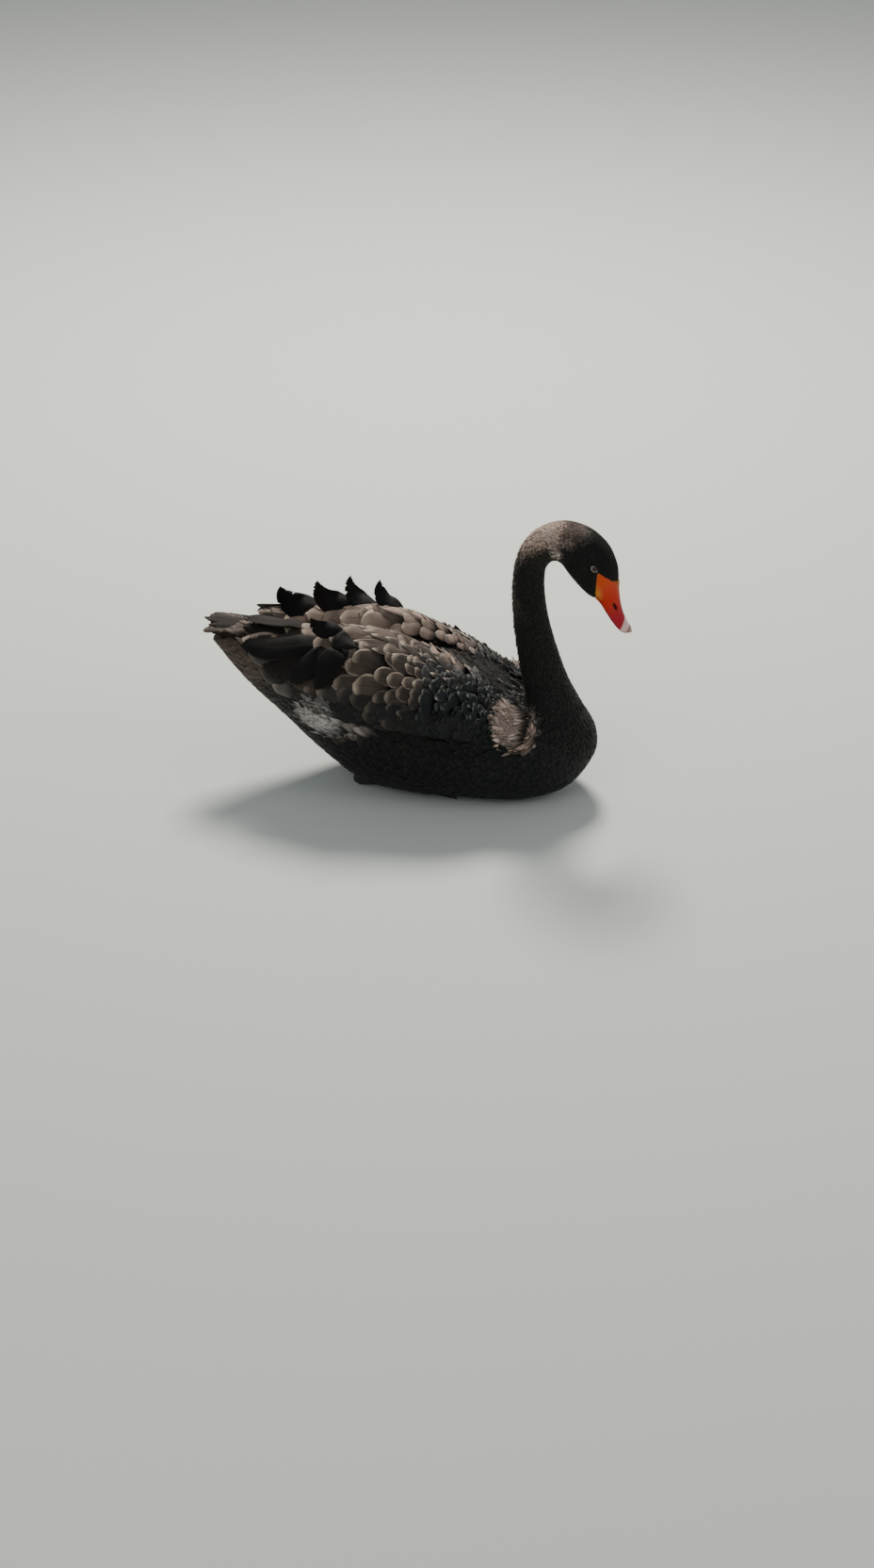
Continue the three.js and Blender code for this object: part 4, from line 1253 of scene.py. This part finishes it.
def wing_plumes(side, name):
    """The loose curled plumes over the flight feathers."""
    plumes = Shape()
    for k, given in enumerate(PLUMES[side]):
        p = {**PLUME, **given}
        places = [p[key] for key in ("x", "t", "length", "lift", "curl", "heading", "start")]
        line, laterals = quill_line(side, *places)
        add_blade(
            plumes, line, laterals, p["width"], math.radians(p["twist"]) * side, p["form"], dome=0.2,
            ragged=0.04, ruffle=0.05, rows=40, columns=13, notches=4, hold=p["hold"],
            uv_root=(0.06 + 0.11 * k, 0.5), warm=p["warm"], cool=0.3 - 0.3 * p["warm"], rim=0.7,
        )
    plumes.piece(f"{name}_plumes", PLUME_COAT)


for label, side in SIDES.items():
    for make in (wing_base, wing_coverts, wing_scapulars, wing_flank, wing_flight, wing_plumes):
        make(side, f"wing_{label}")


# The tail
TAIL_ROOT = np.array([-262.0, 0.0, 252.0])
TAIL_TIP_X = -362.0
TAIL_FEATHERS = 13
TAIL_SPREAD = 25.0
TAIL_CONE = np.array(
    [[-246, 10, 3], [-258, 20, 6], [-272, 27, 7.5], [-300, 34, 6.5], [-322, 36, 2.5]], float
)


def tail_point(x, turn):
    """The low root that the tail's feathers grow from."""
    x, turn = np.broadcast_arrays(np.asarray(x, float), np.asarray(turn, float))
    places = np.clip(-x, -TAIL_CONE[0, 0], -TAIL_CONE[-1, 0])
    half, high = (np.interp(places, -TAIL_CONE[:, 0], TAIL_CONE[:, k]) for k in (1, 2))
    z = TAIL_ROOT[2] + (TAIL_ROOT[0] - x) * 0.02 + high * np.sin(turn)
    return np.stack([x, half * np.cos(turn), z], -1)


TAIL = Surface(
    tail_point,
    (1.0, 0.02),
    -1,
    lambda a, b: np.stack([(a + 330) / 90, b / (2 * math.pi)], -1),
)
# Each ring of coverts over the tail's root: place, how many above and below, and size
TAIL_COVERTS = ((-308, 12, 19), (-295, 12, 20), (-282, 11, 21), (-270, 9, 21), (-257, 7, 20))


def tail_vanes():
    """Fanned tail feathers out of a low root, the middle ones on top."""
    shape = Shape()
    for k in range(TAIL_FEATHERS):
        middle = abs(2 * k / (TAIL_FEATHERS - 1) - 1)
        turn = math.radians(-TAIL_SPREAD + 2 * TAIL_SPREAD * k / (TAIL_FEATHERS - 1) + 1.2 * rng.normal())
        length = (TAIL_ROOT[0] - TAIL_TIP_X) * (1.0 - 0.12 * middle**2) * (0.9 + 0.12 * rng.random())
        share = np.linspace(0, 1, 30)
        rise = 3.0 * (1 - middle) + (1.4 if k % 2 else 0.0) + (4 + 4 * rng.random()) * share
        rise = rise - 9 * middle * share**2
        line = TAIL_ROOT + np.stack(
            [-length * share * math.cos(turn), length * share * math.sin(turn), rise], -1
        )
        across = np.array([math.sin(turn), math.cos(turn), -0.35 * math.sin(turn)])
        add_blade(
            shape, line, np.broadcast_to(across, line.shape), 21.0, 0.0, "round", ragged=0.03, notches=1,
            dome=0.2, rows=34, uv_root=(0.05 + 0.06 * k, 0.5), warm=0.75, rim=0.6,
        )
    x, turn = np.meshgrid(TAIL_CONE[:, 0], np.linspace(0, 2 * math.pi, 40, endpoint=False), indexing="ij")
    still = dict(warm=0.4, tone=0.3, along=0.5, across=0.3)
    add_loft(shape, tail_point(x, turn), (0.05, 0.1), (0.2, 0.2), **still)
    shape.piece("tail_vanes", TAIL_COAT, ("tail",))


def tail_coverts():
    """Soft feathers in rings over the tail's root."""
    coverts = Shape()
    for x, count, size in TAIL_COVERTS:
        for top in (1, -1):
            turn = np.linspace(0.12, math.pi - 0.12, count) + 0.06 * rng.normal(size=count)
            lay(
                coverts, TAIL, x + 3.0 * rng.normal(size=count), turn * top % (2 * math.pi),
                (size * 2.2) * (0.85 + 0.3 * rng.random(count)), size * 0.9, form="soft", rows=10,
                columns=5, sink=-1.5, lift=1.8, dome=0.1, swing=0.12, patch=0.01,
                marks={"warm": 0.9, "cool": 0.1, "pale": 0.12 * (top > 0), "rim": 0.4},
            )
    coverts.piece("tail_coverts", TAIL_COAT)


tail_vanes()
tail_coverts()


# The bill
def mouth_turns():
    """The angle, on the left side, at which the line of mouth crosses each section of the bill."""
    u = np.linspace(BILL_BASE - 2.5, BILL_TIP, 400)
    turns = np.linspace(-math.pi / 2, math.pi / 2, 500)
    above = inside(UPPER_SIDE, body_point(u[:, None], turns[None])[..., [0, 2]])
    above[:, -1] = True
    return u, turns[np.argmax(above, axis=1)]


MOUTH_STATIONS, MOUTH_TURNS = mouth_turns()
GAPE_STATION = float(
    MOUTH_STATIONS[np.argmax(body_point(MOUTH_STATIONS, MOUTH_TURNS)[:, 2] < GAPE[1])]
)


def mouth_turn(u):
    return np.interp(np.maximum(u, GAPE_STATION), MOUTH_STATIONS, MOUTH_TURNS)


TIP_WAY = np.array([0.707, 0.0, -0.707])  # the bill's tip points forwards and down
TIP_LENGTH = 3.0


def bill_point(u, turn):
    """A point of the bill; past the last station the tip is rounded off."""
    past = np.clip(u - BILL_TIP, 0, 1) * math.pi / 2
    whole = body_point(np.minimum(u, BILL_TIP), turn)
    middle = body_point(BILL_TIP, 0.0)
    middle = np.array([middle[0], 0.0, middle[2]])
    tipped = middle + (whole - middle) * np.cos(past)[..., None]
    tipped = tipped + TIP_WAY * (TIP_LENGTH * np.sin(past))[..., None]
    return np.where((past > 0)[..., None], tipped, whole)


BILL_SKIN = Surface(bill_point, (0.02, 0.01), -1, None)


def half_bill(upper):
    """The turn round the bill for places q from 0 to 1, from one corner of the mouth to the other."""
    if upper:
        return lambda u, q: mouth_turn(u) + q * (math.pi - 2 * mouth_turn(u))
    return lambda u, q: mouth_turn(u) - q * (math.pi + 2 * mouth_turn(u))


NOSTRIL_RIM = 0.45
NOSTRIL = {"x": 330.5, "y": 13.5, "z": 352.0, "long": 9.0, "wide": 2.6, "deep": 3.2}
BILL_AXIS = {"from": np.array([318.0, 385.0]), "along": np.array([0.406, -0.914]), "length": 88.6}


def nostrils(points):
    """How far points of the bill lie in a nostril, from 0 to 1, and how high its rim stands there."""
    hollow, rim = np.zeros(points.shape[:-1]), np.zeros(points.shape[:-1])
    slot_x, slot_z = BILL_AXIS["along"]
    for side in (LEFT, RIGHT):
        away = points - np.array([NOSTRIL["x"], side * NOSTRIL["y"], NOSTRIL["z"]])
        on_side = np.sign(points[..., 1]) == side
        ahead = away @ np.array([slot_x, 0.0, slot_z])
        aside = away[..., 0] * -slot_z + away[..., 2] * slot_x
        reach = np.hypot(ahead / NOSTRIL["long"], aside / NOSTRIL["wide"])
        hollow = np.maximum(hollow, ease(1.0, 0.55, reach) * on_side)
        rim = rim + NOSTRIL_RIM * ease(1.7, 1.1, reach) * ease(0.7, 1.1, reach) * on_side
    return hollow, rim


def bill_half_mesh(name, upper, grow, replaces):
    """One half of the bill, raised by grow and closed on the inside of the mouth, with nostrils in the
    upper half."""
    rows, columns = 150, 121
    q = np.linspace(0, 1, columns)
    turn_of = half_bill(upper)
    start = first_inside(
        BILL_SIDE, lambda u, p: body_point(u, turn_of(u, p)), BILL_BASE - 2.6, BILL_TIP, q
    )
    start = np.convolve(np.pad(start, 3, "edge"), np.full(7, 1 / 7), "valid")
    share = np.linspace(0, 1, rows)[:, None] ** 0.9
    u = (start - 0.1)[None] + (BILL_TIP + 0.995 - start + 0.1)[None] * share
    turn = turn_of(u, q[None])
    points = bill_point(u, turn)
    out = BILL_SKIN.slopes(u, turn)[2]
    edge = np.clip((u - start[None]) / 2.0, 0, 1)
    lip = ease(0.0, 0.06, np.minimum(q, 1 - q))[None]
    raised = grow + 0.5 * ease(0.0, 0.05, edge) * ease(0.25, 0.0, edge)
    raised = raised - ease(0.02, -0.02, u - start[None])
    raised = raised + (0.35 if upper else 0.0) * (1 - lip)
    hollow = np.zeros(u.shape)
    if upper:
        hollow, rim = nostrils(points)
        raised = raised + rim
        ridge = ease(0.2, 0.0, np.abs(q - 0.5))[None] * ease(BILL_TIP - 1, BILL_TIP - 3, u)
        raised = raised + 0.7 * ridge
    points = points + out * (raised - NOSTRIL["deep"] * hollow)[..., None]
    along = ((points[..., [0, 2]] - BILL_AXIS["from"]) @ BILL_AXIS["along"]) / BILL_AXIS["length"]
    inner = np.linspace(0, 1, 14)[1:-1]
    first, last = points[:, :1], points[:, -1:]
    middle = points.mean(axis=1, keepdims=True)
    low = np.abs(2 * q - 1)
    low = np.broadcast_to(low if upper else 0.9 + 0.1 * ease(0.9, 1.0, low), u.shape)
    palate = last + (first - last) * inner[None, :, None]
    palate = palate + (middle - palate) * (0.28 * np.sin(math.pi * inner))[None, :, None]
    rings = np.concatenate([points, palate], 1)
    spare = np.zeros((rows, len(inner)))
    values = {
        "along": np.concatenate([along, spare + 0.5], 1).ravel(),
        "edge": np.concatenate([edge, spare + 1], 1).ravel(),
        # the faces inside the mouth take 0.4 of the nostrils' painted shade
        "hollow": np.concatenate([hollow, spare + 0.4], 1).ravel(),
        "low": np.concatenate([low, spare + 1], 1).ravel(),
    }
    shape = Shape()
    add_loft(shape, rings, **values)
    shape.piece(name, BILL_WAX, replaces)


def bill_nail():
    """The nail: a hooked shield over the bill's tip."""
    rows, columns = 40, 41
    q = np.linspace(0.1, 0.9, columns)
    off = np.abs(2 * q - 1) / 0.8
    start = BILL_TIP - 1.35 + 0.85 * off**2
    share = np.linspace(0, 1, rows)[:, None]
    u = start[None] + (BILL_TIP + 0.9 - start)[None] * share
    turn = half_bill(True)(np.minimum(u, BILL_TIP), q[None])
    points = bill_point(u, turn)
    out = BILL_SKIN.slopes(u, turn)[2]
    rim = np.minimum(ease(0.0, 0.18, share), ease(1.0, 0.82, off)[None])
    top = points + out * (0.1 + 0.9 * rim)[..., None]
    under = points - out * 1.2
    rings = np.concatenate([top, under[:, ::-1]], 1)
    shape = Shape()
    edge = np.concatenate([1 - rim, 1 + 0 * rim], 1) * np.ones((rows, 1))
    add_loft(shape, rings, edge=edge.ravel())
    shape.piece("bill_tip_nail", NAIL_HORN, ("bill_nail",))


bill_half_mesh("bill_upper_wax", True, 0.0, ("bill_upper",))
bill_half_mesh("bill_lower_wax", False, -0.5, ("bill_lower",))
bill_nail()


# The eyes
def eye_frame(side):
    """The eye's middle, the way it looks, forwards along the head and up."""
    centre, out = eye_axis(side)
    tilt = np.array([0.8, 0.0, -0.6])
    ahead = unit(tilt - out * (tilt @ out))
    up = np.cross(ahead, out) * -side
    return centre, out, ahead, up


EYE_COLUMNS = 64
EYE_ROUND = np.linspace(0, 2 * math.pi, EYE_COLUMNS, endpoint=False)
# The lids' cross-section, from inside the eye's opening outwards: the step out from the opening, the
# height above the eye's middle, and how pale it is
LID_PROFILE = np.array(
    [[-0.7, 2.8, 0.1], [-0.1, 4.2, 0.7], [0.4, 4.9, 1.0], [0.9, 5.1, 0.8], [1.5, 4.9, 0.25],
     [2.3, 4.4, 0.05], [3.4, 3.9, 0.0], [4.8, 3.4, 0.0], [4.4, 0.6, 0.0], [1.0, 0.2, 0.0]]
)
EYE_WIDE, EYE_TALL = 4.8, 2.7


def eye_ball(label, side):
    """An eyeball with its cornea."""
    centre, out, ahead, up = eye_frame(side)
    polar = np.linspace(0.001, math.pi - 0.001, 48)[:, None]
    turn = EYE_ROUND[None]
    radius = EYE["radius"] - 0.35 + 0.5 * ease(0.75, 0.3, polar)
    ball = (
        centre
        + out * (radius * np.cos(polar) * np.ones_like(turn))[..., None]
        + ahead * (radius * np.sin(polar) * np.cos(turn))[..., None]
        + up * (radius * np.sin(polar) * np.sin(turn))[..., None]
    )
    shape = Shape()
    add_loft(shape, ball, ring=np.broadcast_to(polar, ball.shape[:2]).ravel())
    shape.piece(f"eye_{label}_ball", EYE_WET, (f"eye_{label}",))


def eye_lids(label, side):
    """Wrinkled lids round the eye that meet the head."""
    centre, out, ahead, up = eye_frame(side)
    wrinkle = 0.12 * np.sin(23 * EYE_ROUND) + 0.1 * np.sin(37 * EYE_ROUND + 1)
    rings = []
    for step, height in LID_PROFILE[:, :2]:
        wide, tall = EYE_WIDE + step, EYE_TALL + step
        rings.append(
            centre
            + ahead * (wide * np.cos(EYE_ROUND))[:, None]
            + up * (tall * np.sin(EYE_ROUND))[:, None]
            + out * (height + wrinkle * (step > 0))[:, None]
        )
    rings.append(rings[0])
    edge = np.repeat(np.append(LID_PROFILE[:, 2], LID_PROFILE[0, 2]), EYE_COLUMNS)
    shape = Shape()
    add_loft(shape, np.array(rings), caps=False, edge=edge)
    shape.piece(f"lids_{label}", LID_SKIN)


for label, side in SIDES.items():
    eye_ball(label, side)
    eye_lids(label, side)


# The legs and webbed feet, tucked under the belly
HEEL = np.array([-86.0, 58.0, 13.0])
ANKLE_UP = np.array([-74.0, 60.0, 46.0])
TOE_ROOT = np.array([-2.0, 46.0, 9.0])
TOES = [(-16, 74), (2, 92), (19, 84)]  # the way each toe points, in degrees, and its length
TOE_SHARES = (-0.05, 0.1, 0.3, 0.42, 0.6, 0.72, 0.9)
TOE_HEIGHTS = (6.0, 5.8, 5.0, 5.2, 4.4, 4.6, 3.6)
TOE_RADII = [4.4, 5.6, 4.6, 5.1, 4.1, 4.5, 3.4]


def add_tube(shape, line, radii, flat=1.0, columns=28):
    """A limb along a line, with a radius at each point, flattened if flat is under 1."""
    line, radii = np.asarray(line, float), np.asarray(radii, float)
    places = np.linspace(0, len(line) - 1, 8 * len(line))
    spine = through(line, places)
    radius = through(radii[:, None], places)[:, 0]
    ahead = unit(np.gradient(spine, axis=0))
    over = unit(np.cross(ahead, [0.0, 0.0, 1.0]))
    up = np.cross(over, ahead)
    angle = np.linspace(0, 2 * math.pi, columns, endpoint=False)
    rings = (
        spine[:, None]
        + over[:, None] * (radius[:, None] * np.cos(angle))[..., None]
        + up[:, None] * (flat * radius[:, None] * np.sin(angle))[..., None]
    )
    rings[..., 2] = np.maximum(rings[..., 2], 0.0)
    add_loft(shape, rings, span=(0.3, 0.3))


def mirrored(points, side):
    return np.asarray(points, float) * np.array([1, side, 1])


def make_leg(label, side):
    """Shank and heel."""
    leg = Shape()
    middle = HEEL * 0.5 + TOE_ROOT * 0.5
    shank = [HEEL + [-6, 0, -3], HEEL, middle, TOE_ROOT + [-14, 0, 0.5], TOE_ROOT + [-6, 0, -1]]
    add_tube(leg, mirrored(shank, side), [4.0, 8.6, 6.6, 6.8, 5.0])
    add_tube(leg, mirrored([HEEL + [-5, 0, -4], HEEL + [-2, 0, 6], ANKLE_UP], side), [6.0, 9.5, 11.0])
    leg.piece(f"leg_{label}_skin", FOOT_SCALES, (f"leg_{label}",))


def add_web(shape, root, near, far, side):
    """The web between the tips of two toes, a thin rippled sheet with a hollow front edge."""
    share = np.linspace(0, 1, 30)
    out = np.linspace(0.02, 0.93, 24)
    reach = 1 - 0.14 * np.sin(math.pi * share)
    rim = near + (far - near) * share[:, None]
    sheet = root + (rim - root)[:, None] * (out[None] * reach[:, None])[..., None]
    ripple = 0.35 * np.sin(5 * math.pi * share)[:, None] * np.sin(math.pi * out)[None]
    top = sheet + np.stack([0 * ripple, 0 * ripple, 2.1 + ripple], -1)
    under = sheet + np.array([0, 0, 0.3])
    rings = np.concatenate([top, under[:, ::-1]], 1)
    add_loft(shape, mirrored(rings, side), (0.4, 0.4), (0.3, 0.3))


def make_foot(label, side):
    """The toes with their joints and claws, and the webs between them."""
    foot = Shape()
    root = TOE_ROOT * [1, 1, 0]
    ends = []
    for turn, length in TOES:
        heading = np.array([math.cos(math.radians(turn)), math.sin(math.radians(turn)), 0.0])
        tip = root + heading * length
        ends.append(tip)
        joints = [root + heading * length * share for share in TOE_SHARES]
        line = [joint + [0, 0, z] for joint, z in zip(joints, TOE_HEIGHTS)]
        add_tube(foot, mirrored(line, side), TOE_RADII, 0.8, 20)
        claw = [joints[-1] + [0, 0, 4.0], tip - heading * 2 + [0, 0, 4.4], tip + heading * 4 + [0, 0, 1.4]]
        add_tube(foot, mirrored(claw, side), [2.6, 2.1, 0.4], 1.0, 14)
    for near, far in zip(ends, ends[1:]):
        add_web(foot, root, near, far, side)
    foot.piece(f"foot_{label}_skin", FOOT_SCALES, (f"foot_{label}",))


for label, side in SIDES.items():
    make_leg(label, side)
    make_foot(label, side)


# Floor, light and camera
def make_floor():
    """A plain pale floor, not part of the bird."""
    reach = 14.0
    mesh = bpy.data.meshes.new("floor")
    corners = [(-reach, -reach, 0), (reach, -reach, 0), (reach, reach, 0), (-reach, reach, 0)]
    mesh.from_pydata(corners, [], [(0, 1, 2, 3)])
    floor = put("floor", mesh)
    f = Finish("floor_paint", roughness=0.7, specular_ior_level=0.2)
    f.shader.inputs["Base Color"].default_value = tint("c9cdc8")
    mesh.materials.append(f.material)


def soft_light(name, place, aim, size, power, colour):
    """A large soft lamp aimed at a point."""
    lamp = bpy.data.lights.new(name, "AREA")
    lamp.shape = "DISK"
    lamp.size = size
    lamp.energy = power
    lamp.color = colour
    made = put(name, lamp)
    made.location = place
    made.rotation_euler = (Vector(place) - Vector(aim)).to_track_quat("Z", "Y").to_euler()


def make_camera():
    """The photo's view: its picture is 928 x 1664, and the breast's foot lies at a known place."""
    wide, tall = 928, 1664
    focal = 3366.0
    depth = 5.3
    azimuth, elevation = math.radians(11.0), math.radians(29.2)
    anchor, anchor_pixel = Vector((0.252, 0.0, 0.060)), (600.0, 803.0)
    back = Vector(
        (
            math.sin(azimuth) * math.cos(elevation),
            -math.cos(azimuth) * math.cos(elevation),
            math.sin(elevation),
        )
    )
    right = Vector((math.cos(azimuth), math.sin(azimuth), 0.0))
    up = back.cross(right)
    x = (anchor_pixel[0] - wide / 2) / focal * depth
    y = -(anchor_pixel[1] - tall / 2) / focal * depth
    lens = bpy.data.cameras.new("camera")
    lens.sensor_width = 36.0
    lens.lens = focal / tall * lens.sensor_width
    lens.clip_start, lens.clip_end = 0.05, 100.0
    camera = put("camera", lens)
    camera.matrix_world = Matrix.Translation(anchor - (right * x + up * y - back * depth)) @ Matrix(
        (right, up, back)
    ).transposed().to_4x4()
    bpy.context.scene.camera = camera


def make_world():
    world = bpy.data.worlds.new("studio")
    bpy.context.scene.world = world
    world.use_nodes = True
    ground = world.node_tree.nodes["Background"]
    ground.inputs["Color"].default_value = tint("dfe6e8")
    ground.inputs["Strength"].default_value = 0.42


make_floor()
soft_light("back_light", (-0.5, 2.5, 3.3), (0.0, 0.0, 0.25), 1.2, 250.0, (1.0, 0.94, 0.86))
soft_light("side_light", (-1.2, -3.4, 2.6), (0.0, 0.0, 0.2), 2.6, 34.0, (0.93, 0.97, 1.0))
soft_light("front_light", (3.4, -0.8, 2.2), (0.1, 0.0, 0.3), 2.0, 26.0, (1.0, 1.0, 1.0))
make_world()
make_camera()
